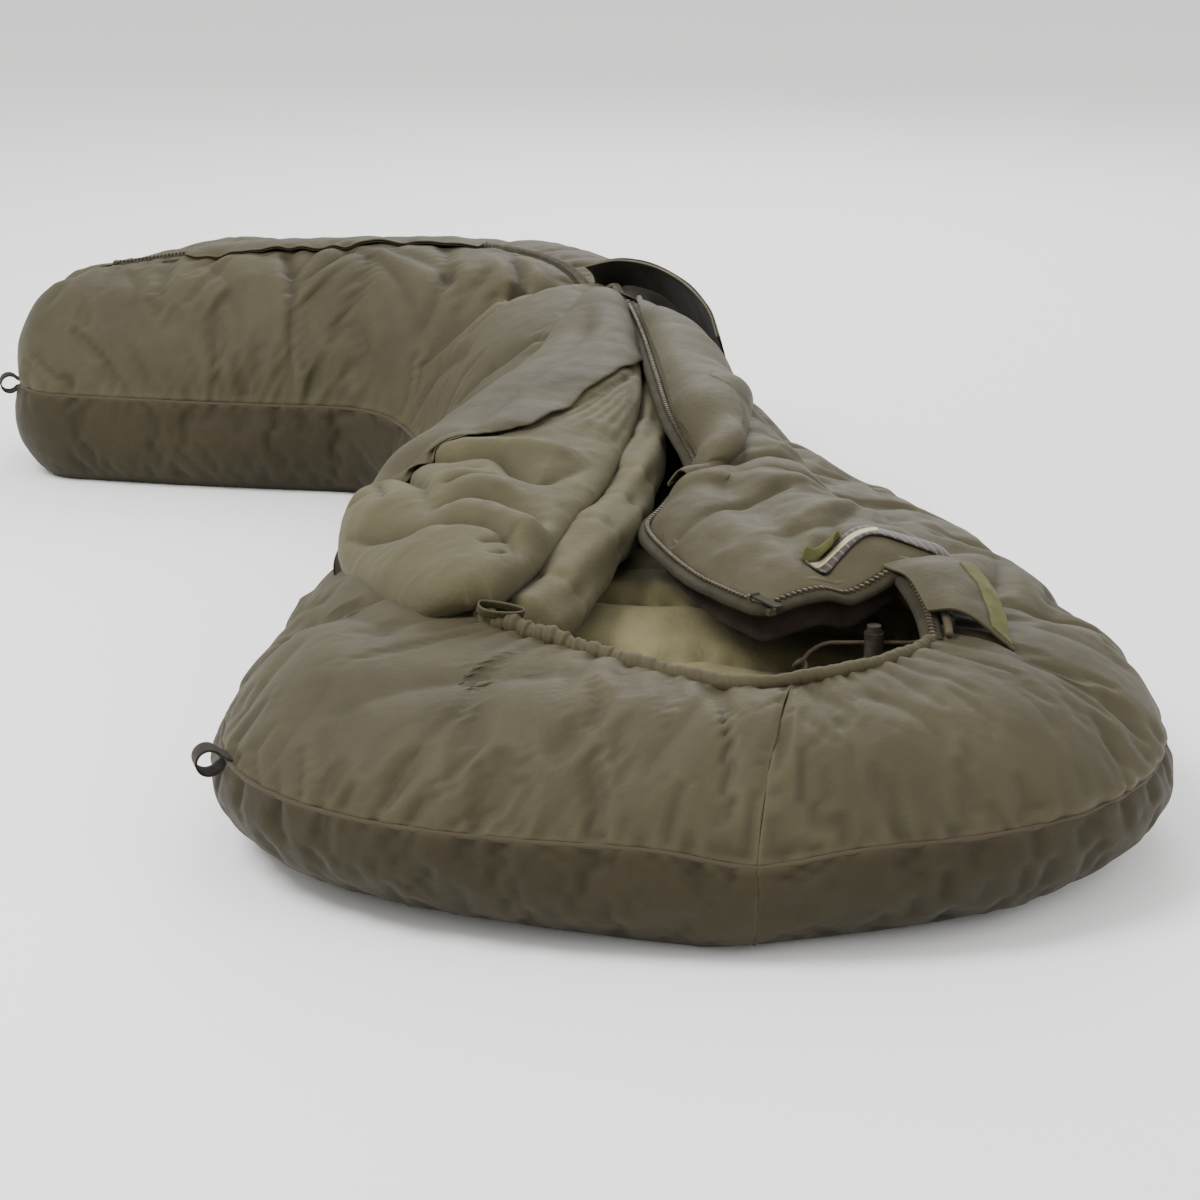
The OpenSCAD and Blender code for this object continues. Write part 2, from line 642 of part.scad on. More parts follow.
function leg_outline(inset, z) =
    let (us = leg_stations(inset))
    concat([for (u = us) [u, leg_width(u, inset), z]],
        [for (u = reversed(us)) [u, -leg_width(u, inset), z]]);

// The zip's line over the legs.
leg_zip_plan = [[-64, 135], [-6, 65], [75, 16], [166, 0], [260, 8], [359, 20], [460, 28], [560, 30]];
leg_zip_steps = 28;
zip_sink = 1.5;
slot_half = 12;
leg_zip = [for (p = curve(leg_zip_plan, leg_zip_steps))
    [p.x, p.y, leg_height(p.x, p.y, 0, leg_low) - zip_sink]];
split_v = 30;
split_half = 0.2;
// Where the zip's line leaves the legs at the pivot end, and sizes well outside the legs for cutting.
line_lead = 80;
far = 800;
slot_z = leg_top - 60;
slot_deep = 90;
zip_first = leg_zip[0] - line_lead * unit(leg_zip[1] - leg_zip[0]);
module leg_slot() {
    last = leg_zip[len(leg_zip) - 1] + [slot_half, 0, 0];
    path = [for (p = concat([zip_first], leg_zip, [last])) at_z(p, slot_z)];
    loft(swept(path, bar(-slot_half, slot_half, -slot_deep, slot_deep)));
    translate([foot_from, split_v - split_half, 0]) cube([far - foot_from, 2 * split_half, far]);
}
module near_side() {
    linear_extrude(height = far) polygon(concat([[zip_first.x, zip_first.y]], [for (p = leg_zip) [p.x, p.y]],
        [[far, split_v], [far, far], [zip_first.x, far]]));
}
module leg_skin() {
    difference() {
        leg_dome(0, leg_low, leg_low - 0.01);
        leg_dome(cloth, leg_low, leg_low - 1);
        leg_slot();
    }
}
module in_place() { translate(pivot) rotate([0, 0, leg_angle]) children(); }
module leg_upper_shell_near() { color(shell_tone) in_place() intersection() { leg_skin(); near_side(); } }
module leg_upper_shell_far() { color(shell_tone) in_place() difference() { leg_skin(); near_side(); } }
leg_base_top = leg_seam_z - seam_gap;
leg_liner_low = leg_base_top - cloth;
function leg_tray(t, inset, top) = leg_outline(tray_inset(t) + inset, mix(inset, top, t));
module leg_base_shell() {
    color(shell_tone) in_place() loft(concat(
        [for (t = tray_levels) leg_tray(t, 0, leg_base_top)],
        [for (t = reversed(tray_levels)) leg_tray(t, cloth, leg_base_top)]));
}
module leg_base_insulation() {
    color(fill_tone) in_place()
        loft([for (t = tray_levels) leg_tray(t, cloth + 4 * gap, leg_liner_low - gap)]);
}
module leg_liner() {
    color(liner_tone) in_place()
        loft([leg_outline(2 * cloth, leg_liner_low), leg_outline(2 * cloth, leg_base_top)]);
}
leg_fill_inset = 5;
module leg_upper_insulation() {
    color(fill_tone) in_place() leg_dome(leg_fill_inset, leg_low + cloth, leg_low + cloth - 0.01);
}
piping_from = -60;
module leg_seam_piping() {
    us = [for (u = leg_stations(0)) if (u > piping_from) u];
    path = concat([for (u = us) [u, leg_width(u, 0), leg_seam_z]],
        [for (u = reversed(us)) [u, -leg_width(u, 0), leg_seam_z]]);
    color(tape_tone) in_place() loft(swept(path, ring_of(piping_r, 8)));
}
module leg_zip_tape() { in_place() closed_tapes(leg_zip); }
module leg_zip_teeth() { in_place() closed_teeth(leg_zip); }
module zip_bottom_stop() {
    color(tooth_tone) in_place() translate(leg_zip[leg_zip_steps] + [stop_off, 0, 0])
        cube([stop_size, stop_size + 4, stop_size], center = true);
}
foot_loop_v = 120;
foot_loop_turn = 24;
module foot_loop() {
    t = pow(1 - pow(foot_loop_v / leg_half[calf_rows], foot_power), 1 / foot_power);
    u = mix(foot_from, leg_length, t);
    out = loop_out * [cos(foot_loop_turn), sin(foot_loop_turn)];
    color(webbing_tone) in_place()
        translate([u + out.x, foot_loop_v + out.y, leg_seam_z]) rotate([0, 0, foot_loop_turn]) loop_ring();
}

// The cover over the leg zip.
cover_first = 120;
cover_last = 462;
cover_lift = 2.5;
cover_t = 4;
cover_far = -26;
cover_near = 20;
cover_steps = 8;
cover_parts = 4;
cover_line = [[-64, 135], [75, 14], [214, 4], [353, 19], [492, 29]];
function cover_at(u, k, lift) =
    let (v = station(cover_line, u, 1) + mix(cover_far, cover_near, k / cover_parts))
    [u, v, leg_height(u, v, 0, leg_low) + lift];
module leg_storm_flap() {
    color(shell_tone) in_place() loft([for (i = [0 : cover_steps])
        let (u = mix(cover_first, cover_last, i / cover_steps))
        concat([for (k = [0 : cover_parts]) cover_at(u, k, cover_lift)],
            [for (k = [cover_parts : -1 : 0]) cover_at(u, k, cover_lift + cover_t)])]);
}

base_shell();
base_insulation();
base_liner();
upper_shell(-1);  // upper_shell_left
upper_shell(1);  // upper_shell_right
upper_insulation(-1);  // upper_insulation_left
upper_insulation(1);  // upper_insulation_right
upper_liner(-1);  // upper_liner_left
upper_liner(1);  // upper_liner_right
side_seam_piping();
hood_hem();
hood_drawcord();
drawcord_loop();
draft_tube();
trunk_zip_tape();
trunk_zip_teeth();
shoulder_loop();
left_flap_shell();
left_flap_insulation();
left_flap_liner();
left_zip_tape();
left_zip_teeth();
right_flap_shell();
right_flap_insulation();
right_flap_liner();
right_zip_tape();
right_zip_teeth();
zip_guard_tape();
storm_flap();
woven_ribbon();
zip_top_stop();
neck_tab();
hook_patch();
upper_slider();
upper_pull_tab();
cord_lock_barrel();
cord_lock_spring();
cord_lock_plunger();
leg_upper_shell_near();
leg_upper_shell_far();
leg_base_shell();
leg_upper_insulation();
leg_base_insulation();
leg_liner();
leg_seam_piping();
leg_zip_tape();
leg_zip_teeth();
zip_bottom_stop();
foot_loop();
leg_storm_flap();
lower_slider();
lower_pull_tab();
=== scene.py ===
import json
import math

import bmesh
import bpy
import numpy as np
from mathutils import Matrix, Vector
from mathutils.bvhtree import BVHTree


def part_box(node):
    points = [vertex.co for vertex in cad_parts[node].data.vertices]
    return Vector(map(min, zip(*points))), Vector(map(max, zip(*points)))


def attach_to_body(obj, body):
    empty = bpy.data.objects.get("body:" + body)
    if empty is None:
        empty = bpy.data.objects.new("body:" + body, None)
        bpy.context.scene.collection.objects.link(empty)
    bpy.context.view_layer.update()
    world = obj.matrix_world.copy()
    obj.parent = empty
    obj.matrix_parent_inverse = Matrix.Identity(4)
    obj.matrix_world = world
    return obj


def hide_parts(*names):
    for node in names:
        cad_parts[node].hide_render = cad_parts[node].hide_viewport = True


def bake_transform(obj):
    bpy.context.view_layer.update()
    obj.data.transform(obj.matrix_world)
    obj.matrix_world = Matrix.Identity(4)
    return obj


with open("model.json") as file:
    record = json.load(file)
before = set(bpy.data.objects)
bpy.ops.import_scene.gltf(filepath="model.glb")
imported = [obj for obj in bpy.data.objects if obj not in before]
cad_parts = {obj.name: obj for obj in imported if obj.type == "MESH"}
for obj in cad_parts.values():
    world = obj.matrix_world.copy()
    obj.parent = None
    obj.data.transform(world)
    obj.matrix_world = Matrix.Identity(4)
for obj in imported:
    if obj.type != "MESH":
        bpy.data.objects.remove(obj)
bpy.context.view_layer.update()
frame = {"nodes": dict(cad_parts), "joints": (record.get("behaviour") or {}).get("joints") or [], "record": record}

nodes = frame["nodes"]
UP = np.array([0, 0, 1.0])
# A height above the whole bag, from which rays look down on it.
SKY = 0.6
# Thicknesses of the outer skins, of a single layer of cloth or tape, and of a thin facing.
SKIN, CLOTH, FACING = 0.0014, 0.0012, 0.0010

# ---------------------------------------------------------------- curves and grids


def node_points(node):
    """All points of a CAD node, in metres."""
    mesh = nodes[node].data
    co = np.empty(len(mesh.vertices) * 3)
    mesh.vertices.foreach_get("co", co)
    return co.reshape(-1, 3)


def node_tree(*names):
    """Ray casting tree of some CAD nodes."""
    verts, faces = [], []
    for name in names:
        base = len(verts)
        mesh = nodes[name].data
        verts += [v.co[:] for v in mesh.vertices]
        faces += [[base + i for i in p.vertices] for p in mesh.polygons]
    return BVHTree.FromPolygons(verts, faces)


def hit(tree, start, direction):
    """First point where a ray meets a surface, or None."""
    found = tree.ray_cast(Vector(start), Vector(direction))
    return None if found[0] is None else np.array(found[0])


def top_at(tree, x, y):
    """Height of the first surface below a point in the sky, or None."""
    found = hit(tree, (x, y, SKY), (0, 0, -1))
    return None if found is None else found[2]


def rim(tree, centre, z, degrees, inward=True):
    """Plan outline of a node at height z: one point for each angle about centre."""
    out = []
    for deg in degrees:
        d = np.array([math.cos(math.radians(deg)), math.sin(math.radians(deg)), 0.0])
        c = np.array([centre[0], centre[1], z])
        p = hit(tree, c + 2.5 * d, -d) if inward else hit(tree, c, d)
        if p is not None:
            out.append(p)
    return np.array(out)


def arc_length(path):
    return np.concatenate([[0.0], np.cumsum(np.linalg.norm(np.diff(path, axis=0), axis=1))])


def sample(path, s):
    """Points of a polyline at arc lengths s."""
    total = arc_length(path)
    return np.stack([np.interp(s, total, path[:, c]) for c in range(path.shape[1])], axis=-1)


def resample(path, n):
    return sample(path, np.linspace(0, arc_length(path)[-1], n))


def smooth_path(path, passes):
    path = path.copy()
    for _ in range(passes):
        path[1:-1] = 0.25 * path[:-2] + 0.5 * path[1:-1] + 0.25 * path[2:]
    return path


def nearest_s(path, xy):
    """Arc length of the point of a polyline nearest to xy in plan."""
    fine = resample(path, 2000)
    i = np.argmin(np.linalg.norm(fine[:, :2] - np.array(xy), axis=1))
    return arc_length(fine)[i]


def centre_line(node, axis, step):
    """Middle of a node's points in slices across one axis."""
    co = node_points(node)
    low, high = co[:, axis].min(), co[:, axis].max()
    n = max(3, int((high - low) / step))
    cut = np.linspace(low, high, n + 1)
    rows = [co[(co[:, axis] >= cut[i]) & (co[:, axis] <= cut[i + 1])] for i in range(n)]
    return np.array([r.mean(axis=0) for r in rows if len(r)])


def unit(v):
    return v / np.maximum(np.linalg.norm(v, axis=-1, keepdims=True), 1e-12)


def grid_normals(grid):
    return unit(np.cross(np.gradient(grid, axis=0), np.gradient(grid, axis=1)))


def normals_up(grid):
    """Normals of a grid of points, turned so that most of them point up."""
    n = grid_normals(grid)
    return n if n[..., 2].mean() > 0 else -n


def beside(path):
    """Level unit vectors at right angles to a path."""
    t = unit(np.gradient(path, axis=0)[:, :2])
    return np.stack([t[:, 1], -t[:, 0], np.zeros(len(t))], axis=1)


def relax(grid, passes):
    """Evens out the inner points of a grid."""
    for _ in range(passes):
        grid[1:-1, 1:-1] = (2 * grid[1:-1, 1:-1] + grid[:-2, 1:-1] + grid[2:, 1:-1] + grid[1:-1, :-2]
                            + grid[1:-1, 2:]) / 6
    return grid


def upsample(grid, axis):
    """Twice as many steps along one axis, on cubic curves through the points."""
    g = np.moveaxis(grid, axis, 0)
    before = np.concatenate([2 * g[:1] - g[1:2], g[:-1]])
    after = np.concatenate([g[1:], 2 * g[-1:] - g[-2:-1]])
    later = np.concatenate([after[1:], 2 * after[-1:] - g[-1:]])
    mid = (-before + 9 * g + 9 * after - later)[:-1] / 16
    out = np.empty((2 * len(g) - 1,) + g.shape[1:])
    out[0::2] = g
    out[1::2] = mid
    return np.moveaxis(out, 0, axis)


def grid_faces(rows, cols, wrap=False):
    faces = []
    for i in range(rows - 1):
        for k in range(cols if wrap else cols - 1):
            a, b = i * cols + k, i * cols + (k + 1) % cols
            faces.append((a, b, b + cols, a + cols))
    return faces


def unit_steps(grid):
    """Two arrays that run from 0 to 1 along a grid's rows and along its columns."""
    rows, cols = grid.shape[:2]
    return np.meshgrid(np.linspace(0, 1, rows), np.linspace(0, 1, cols), indexing="ij")


def smooth_noise(xyz, scale, seed):
    """Smooth value noise from -1 to 1, the same on every run."""
    table = np.random.default_rng(seed).uniform(-1, 1, 4096)
    p = xyz / scale + 100.0
    base = np.floor(p).astype(int)
    f = p - base
    f = f * f * (3 - 2 * f)
    out = 0
    for corner in range(8):
        o = [(corner >> b) & 1 for b in range(3)]
        w = 1
        for b in range(3):
            w = w * (f[..., b] if o[b] else 1 - f[..., b])
        key = (base[..., 0] + o[0]) * 73 + (base[..., 1] + o[1]) * 179 + (base[..., 2] + o[2]) * 283
        out = out + w * table[key % 4096]
    return out


# ---------------------------------------------------------------- meshes


def new_mesh(name, verts, faces, material, smooth=True):
    mesh = bpy.data.meshes.new(name)
    mesh.from_pydata([tuple(map(float, v)) for v in verts], [], faces)
    mesh.validate()
    obj = bpy.data.objects.new(name, mesh)
    bpy.context.scene.collection.objects.link(obj)
    if material:
        mesh.materials.append(material)
    if smooth:
        for p in mesh.polygons:
            p.use_smooth = True
    return obj


def apply_modifiers(obj):
    bpy.context.view_layer.update()
    graph = bpy.context.evaluated_depsgraph_get()
    mesh = bpy.data.meshes.new_from_object(obj.evaluated_get(graph), depsgraph=graph)
    old = obj.data
    obj.modifiers.clear()
    obj.data = mesh
    bpy.data.meshes.remove(old)
    return obj


def merge_close(obj):
    """Joins points closer than 0.2 mm, so that no face has a zero-length edge."""
    bm = bmesh.new()
    bm.from_mesh(obj.data)
    bmesh.ops.remove_doubles(bm, verts=bm.verts, dist=0.0002)
    bmesh.ops.dissolve_degenerate(bm, edges=bm.edges, dist=1e-5)
    bm.to_mesh(obj.data)
    bm.free()
    return obj


def thicken(obj, thickness, offset=-1.0):
    mod = obj.modifiers.new("thickness", "SOLIDIFY")
    mod.thickness = thickness
    mod.offset = offset
    mod.use_even_offset = False
    return apply_modifiers(obj)


def sheet(name, grid, material, thickness=CLOTH, offset=-1.0):
    """A cloth sheet from a grid of points; its outer side is the side of grid_normals."""
    faces = [f[::-1] for f in grid_faces(*grid.shape[:2])]
    return thicken(merge_close(new_mesh(name, grid.reshape(-1, 3), faces, material)), thickness, offset)


def attach(piece, body, slot, *replaced):
    """The piece rides on a body if one is given, and the CAD nodes it stands for are hidden; slot is not used."""
    if body:
        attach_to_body(piece, body)
    if replaced:
        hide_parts(*replaced)


def settle(grid, pinned, pressure, shrink, frames=16, stiffness=12.0, bending=0.4, flip=False):
    """Cloth simulation of a grid of points; the points where pinned isn't 0 stay in place."""
    faces = [f if flip else f[::-1] for f in grid_faces(*grid.shape[:2])]
    obj = new_mesh("settling", grid.reshape(-1, 3), faces, None)
    group = obj.vertex_groups.new(name="pin")
    group.add([int(i) for i in np.nonzero(pinned.reshape(-1) > 0)[0]], 1.0, "REPLACE")
    mod = obj.modifiers.new("cloth", "CLOTH")
    cloth = mod.settings
    cloth.quality = 5
    cloth.mass = 0.25
    cloth.tension_stiffness = cloth.compression_stiffness = stiffness
    cloth.shear_stiffness = stiffness / 3
    cloth.bending_stiffness = bending
    cloth.air_damping = 2.0
    cloth.vertex_group_mass = "pin"
    cloth.use_pressure = True
    cloth.uniform_pressure_force = pressure
    cloth.shrink_min = shrink
    cloth.effector_weights.gravity = 0
    mod.collision_settings.use_self_collision = mod.collision_settings.use_collision = False
    mod.point_cache.frame_start = 1
    mod.point_cache.frame_end = frames
    scene = bpy.context.scene
    for f in range(1, frames + 1):
        scene.frame_set(f)
    graph = bpy.context.evaluated_depsgraph_get()
    shape = obj.evaluated_get(graph).to_mesh()
    co = np.empty(len(shape.vertices) * 3)
    shape.vertices.foreach_get("co", co)
    bpy.data.objects.remove(obj, do_unlink=True)
    scene.frame_set(1)
    return co.reshape(grid.shape)


def cap_move(before, after, most):
    """Moves points towards their new places, by no more than a set distance."""
    d = after - before
    far = np.linalg.norm(d, axis=-1, keepdims=True)
    return before + d * np.minimum(1.0, most / np.maximum(far, 1e-9))

# ---------------------------------------------------------------- materials

def srgb(r, g, b):
    """Linear colour from 0-255 display values."""
    return tuple((v / 255 + 0.055) ** 2.4 / 1.055 ** 2.4 for v in (r, g, b)) + (1.0,)


def shade(colour, k):
    """A colour made k times as bright."""
    return tuple(min(1.0, v * k) for v in colour[:3]) + (1.0,)


def grey(v):
    return (v, v, v, 1.0)


class Nodes:
    """Small helper that builds a node material."""

    def __init__(self, name):
        self.mat = bpy.data.materials.new(name)
        self.mat.use_nodes = True
        self.tree = self.mat.node_tree
        self.bsdf = self.tree.nodes["Principled BSDF"]
        self.coord = self.add("ShaderNodeTexCoord")

    def add(self, kind, **values):
        node = self.tree.nodes.new(kind)
        for key, value in values.items():
            if hasattr(node, key):
                setattr(node, key, value)
            else:
                node.inputs[key.replace("_", " ")].default_value = value
        return node

    def link(self, a, b):
        self.tree.links.new(a, b)

    def noise(self, scale, detail=3.0, rough=0.55, vector=None):
        node = self.add("ShaderNodeTexNoise", Scale=scale, Detail=detail, Roughness=rough)
        self.link(vector or self.coord.outputs["Object"], node.inputs["Vector"])
        return node.outputs["Fac"]

    def wave(self, scale, direction, vector=None):
        node = self.add("ShaderNodeTexWave", wave_type="BANDS", bands_direction=direction, Scale=scale)
        self.link(vector or self.coord.outputs["Object"], node.inputs["Vector"])
        return node.outputs["Fac"]

    def put(self, socket, value):
        """Sets a socket's value, or links an output to it."""
        if isinstance(value, (int, float, tuple)):
            socket.default_value = value
        else:
            self.link(value, socket)

    def maths(self, kind, a, b):
        node = self.add("ShaderNodeMath", operation=kind)
        self.put(node.inputs[0], a)
        self.put(node.inputs[1], b)
        return node.outputs[0]

    def ramp(self, factor, low, high, p0=0.0, p1=1.0):
        node = self.add("ShaderNodeValToRGB")
        for stop, colour, place in zip(node.color_ramp.elements, (low, high), (p0, p1)):
            stop.color = colour
            stop.position = place
        self.link(factor, node.inputs["Fac"])
        return node.outputs["Color"]

    def mix(self, factor, a, b, blend="MIX"):
        node = self.add("ShaderNodeMix", data_type="RGBA", blend_type=blend)
        for index, value in ((0, factor), (6, a), (7, b)):
            self.put(node.inputs[index], value)
        return node.outputs[2]

    def bump(self, height, strength, distance=0.001, normal=None):
        node = self.add("ShaderNodeBump", Strength=strength, Distance=distance)
        self.link(height, node.inputs["Height"])
        if normal is not None:
            self.link(normal, node.inputs["Normal"])
        return node.outputs["Normal"]

    def finish(self, colour, rough, normal, **values):
        values.update(Base_Color=colour, Roughness=rough, Normal=normal)
        for key, value in values.items():
            self.put(self.bsdf.inputs[key.replace("_", " ")], value)
        return self.mat


def cloth_material(name, dark, light, sheen=0.05, rough=0.62, weave=900.0, wrinkle=0.35, crinkle=0.5):
    """Woven shell or liner cloth: colour drifts, painted shade and highlight on folds, fine crinkles, a visible
    weave and a soft sheen.
    """
    m = Nodes(name)
    drift = m.noise(4.5, 4.0, 0.6)
    patch = m.noise(24.0, 3.0, 0.5)
    base = m.ramp(drift, dark, light, 0.28, 0.72)
    faded = m.mix(m.maths("MULTIPLY", patch, 0.35), base, shade(light, 1.25))
    # Painted shade and highlight: hollows of the mesh are painted darker and raised folds paler, by pointiness.
    geo = m.add("ShaderNodeNewGeometry")
    painted_fold_light = m.ramp(geo.outputs["Pointiness"], grey(0.62), (1.3, 1.28, 1.22, 1), 0.44, 0.56)
    colour = m.mix(1.0, faded, painted_fold_light, "MULTIPLY")
    warp, weft, rising = [m.wave(weave, direction) for direction in "XYZ"]
    thread = m.maths("ADD", m.maths("MULTIPLY", warp, weft), m.maths("MULTIPLY", rising, 0.5))
    fleck = m.noise(1500.0, 2.0, 0.6)
    colour = m.mix(m.maths("MULTIPLY", fleck, 0.30), colour, shade(dark, 0.55))
    fine = m.bump(thread, 0.22, 0.0003)
    small = m.bump(m.noise(170.0, 4.0, 0.6), crinkle, 0.0012, fine)
    large = m.bump(m.noise(38.0, 4.0, 0.5), wrinkle, 0.004, small)
    shine = m.ramp(m.noise(60.0, 3.0, 0.5), grey(rough - 0.1), grey(rough + 0.12))
    return m.finish(colour, shine, large, Sheen_Weight=sheen, Sheen_Roughness=0.45, Specular_IOR_Level=0.16)


def tape_material(name, dark, light, rib=700.0, rough=0.7):
    """Narrow woven tape with ribs across it."""
    m = Nodes(name)
    base = m.ramp(m.noise(60.0, 3.0, 0.6), dark, light, 0.3, 0.75)
    ribs = m.maths("ADD", m.wave(rib, "X"), m.wave(rib, "Y"))
    colour = m.mix(m.maths("MULTIPLY", ribs, 0.18), base, shade(dark, 0.4))
    normal = m.bump(m.noise(300.0, 3.0, 0.5), 0.3, 0.0008, m.bump(ribs, 0.4, 0.0004))
    return m.finish(colour, rough, normal, Sheen_Weight=0.04, Specular_IOR_Level=0.15)


def moulded_material(name, dark, light, rough=0.42, grain=1400.0, metallic=0.0):
    """Moulded plastic or drawn metal with a fine grain, scuffs, painted highlight on edges and painted shade in
    hollows.
    """
    m = Nodes(name)
    scuff = m.noise(90.0, 5.0, 0.7)
    base = m.ramp(scuff, dark, light, 0.35, 0.7)
    geo = m.add("ShaderNodeNewGeometry")
    # Painted highlight and shade: sharp edges are painted paler and hollows darker, by pointiness.
    edge = m.ramp(geo.outputs["Pointiness"], grey(0.8), (1.7, 1.65, 1.6, 1), 0.49, 0.6)
    colour = m.mix(1.0, base, edge, "MULTIPLY")
    shine = m.ramp(m.noise(220.0, 3.0, 0.6), grey(rough - 0.1), grey(rough + 0.18))
    normal = m.bump(m.noise(grain, 2.0, 0.6), 0.18, 0.0004)
    return m.finish(colour, shine, normal, Metallic=metallic, Specular_IOR_Level=0.45)


shell_mat = cloth_material("shell cloth", srgb(52, 48, 34), srgb(73, 68, 50), sheen=0.04, rough=0.58)
# The shell cloth painted darker: painted shade on the base's lower walls.
shaded_shell_mat = cloth_material("shell cloth with painted shade", srgb(38, 34, 22), srgb(54, 49, 33), sheen=0.04)
liner_mat = cloth_material("liner cloth", srgb(62, 58, 40), srgb(86, 81, 59), rough=0.66, crinkle=0.6)
# A brighter copy of the liner cloth: painted light on the lining deep inside the bag.
lit_lining_mat = cloth_material("lining cloth with painted light", srgb(108, 102, 74), srgb(130, 123, 92), rough=0.66,
                            crinkle=0.6)
hem_mat = cloth_material("hem binding", srgb(50, 46, 30), srgb(68, 63, 44), rough=0.66, weave=700.0)
piping_mat = cloth_material("seam cord cloth", srgb(48, 42, 32), srgb(62, 55, 42), sheen=0.1, rough=0.7)
# Dark inner cloth of the flaps, darkened further as painted shade; it also colours sheets of painted shadow.
dark_cloth_and_shade_mat = cloth_material("storm flap dark cloth and painted shade", srgb(30, 26, 20), srgb(44, 38, 30), rough=0.8)
zip_tape_mat = tape_material("zip tape", srgb(42, 39, 26), srgb(58, 54, 38))
dark_tape_mat = tape_material("dark tape", srgb(30, 22, 16), srgb(50, 40, 31))
webbing_mat = tape_material("webbing", srgb(30, 24, 19), srgb(52, 43, 35), rib=420.0)
cord_mat = tape_material("cord", srgb(58, 50, 40), srgb(84, 74, 60), rib=1200.0)
hook_mat = tape_material("hook strip", srgb(80, 80, 44), srgb(102, 100, 62), rib=900.0, rough=0.85)
teeth_mat = moulded_material("zip teeth", srgb(40, 36, 26), srgb(62, 56, 42), rough=0.4)
lock_mat = moulded_material("dark plastic", srgb(26, 24, 21), srgb(46, 43, 38), rough=0.4)
spring_mat = moulded_material("spring wire", srgb(120, 118, 112), srgb(170, 167, 160), rough=0.28,
                              metallic=1.0)


# ---------------------------------------------------------------- main curves, taken from the CAD shells

trunk_tree = node_tree("base_shell")
leg_tree = node_tree("leg_base_shell")
seam_low, seam_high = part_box("side_seam_piping")
trunk_seam_z = 0.5 * (seam_low.z + seam_high.z)
leg_seam_z = 0.5 * sum(v.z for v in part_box("leg_seam_piping"))
leg_low, leg_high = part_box("leg_base_shell")
leg_centre = (0.5 * (leg_low.x + leg_high.x), 0.5 * (leg_low.y + leg_high.y))
trunk_centre = (0.03, -0.30)
hem_points = node_points("hood_hem")
hem_front = hem_points[hem_points[:, 1] < hem_points[:, 1].min() + 0.01].mean(axis=0)
# The shells are cut just below their side seams to find the seams' outlines.
below_seam = 0.004
trunk_at = (trunk_tree, trunk_centre, trunk_seam_z - below_seam)
leg_at = (leg_tree, leg_centre, leg_seam_z - below_seam)
to_hood_front = -0.574
crown = rim(*trunk_at, [math.degrees(math.atan2(to_hood_front, hem_front[0] - trunk_centre[0]))])[0]
crown_deg = math.degrees(math.atan2(crown[1] - trunk_centre[1], crown[0] - trunk_centre[0]))
foot_dir = unit(np.array([-1.0, 0.135]))
foot_tip = node_points("leg_base_shell")[np.argmax(node_points("leg_base_shell")[:, :2] @ foot_dir)]

left_trunk = rim(*trunk_at, np.linspace(crown_deg, crown_deg - 166, 150))
left_trunk = left_trunk[left_trunk[:, 1] < 0.25]
right_trunk = rim(*trunk_at, np.linspace(crown_deg, crown_deg + 163, 150))
right_trunk = right_trunk[right_trunk[:, 1] < 0.37]
leg_near = rim(*leg_at, np.linspace(262, 173.6, 100))
leg_near = leg_near[leg_near[:, 0] < -0.33]
leg_far = rim(*leg_at, np.linspace(-8, 173.6, 160))

# The fold on the inside of the bend.
bend_in = np.array([-0.222, 0.395, 0.1])
t = np.linspace(0, 1, 14)[1:-1, None]
bend = (1 - t) ** 2 * left_trunk[-1] + 2 * t * (1 - t) * bend_in + t ** 2 * leg_near[0]
left_seam = np.concatenate([left_trunk, bend, leg_near])
right_seam = np.concatenate([right_trunk, leg_far])


def seam_height(path):
    """The seam rises from the trunk's height to the legs' height around the bend."""
    along = np.clip((path[:, 1] - path[:, 0] * 0.9 - 0.30) / 0.35, 0, 1)
    return trunk_seam_z + (leg_seam_z - trunk_seam_z) * along * along * (3 - 2 * along)


for seam in (left_seam, right_seam):
    seam[:, 2] = seam_height(seam)
    # The crown seam drags the side seam down and forwards where the two meet.
    pull = np.exp(-(arc_length(seam) / 0.055) ** 2)
    seam[:, 2] -= 0.013 * pull
    seam[:, 1] -= 0.005 * pull
left_seam = smooth_path(resample(left_seam, 500), 12)
right_seam = smooth_path(resample(right_seam, 500), 12)

# The inner edge of the upper skins: hem, front fold, zip line and ridge of the foot.
wall_tree = node_tree("upper_liner_left", "upper_liner_right")
panel_tree = node_tree("upper_shell_left", "upper_shell_right")
leg_top_tree = node_tree("leg_upper_shell_near", "leg_upper_shell_far")
mouth_centre = (0.07, -0.32)


def top_of(tree, p, out):
    """Height of a surface at a small step from p in the direction out."""
    q = p + 0.004 * out
    return top_at(tree, q[0], q[1])


# The crown seam slants: it meets the hem a little to the right of the hood's foremost point.
crown_slant = 4.4


def mouth_edge(turn):
    """One side of the mouth's rim, from the crown seam around the opening by an angle."""
    to_front = hem_front[:2] - mouth_centre
    start = math.degrees(math.atan2(to_front[1], to_front[0])) + crown_slant
    ring = rim(wall_tree, mouth_centre, 0.15, np.linspace(start, start + turn, 150), inward=False)
    out = unit(ring - np.array([*mouth_centre, 0.15]))
    heights = [top_of(panel_tree, p, o) for p, o in zip(ring, out)]
    keep = [i for i, h in enumerate(heights) if h is not None]
    ring = ring[keep]
    ring[:, 2] = [heights[i] for i in keep]
    return ring[ring[:, 1] < 0.23]


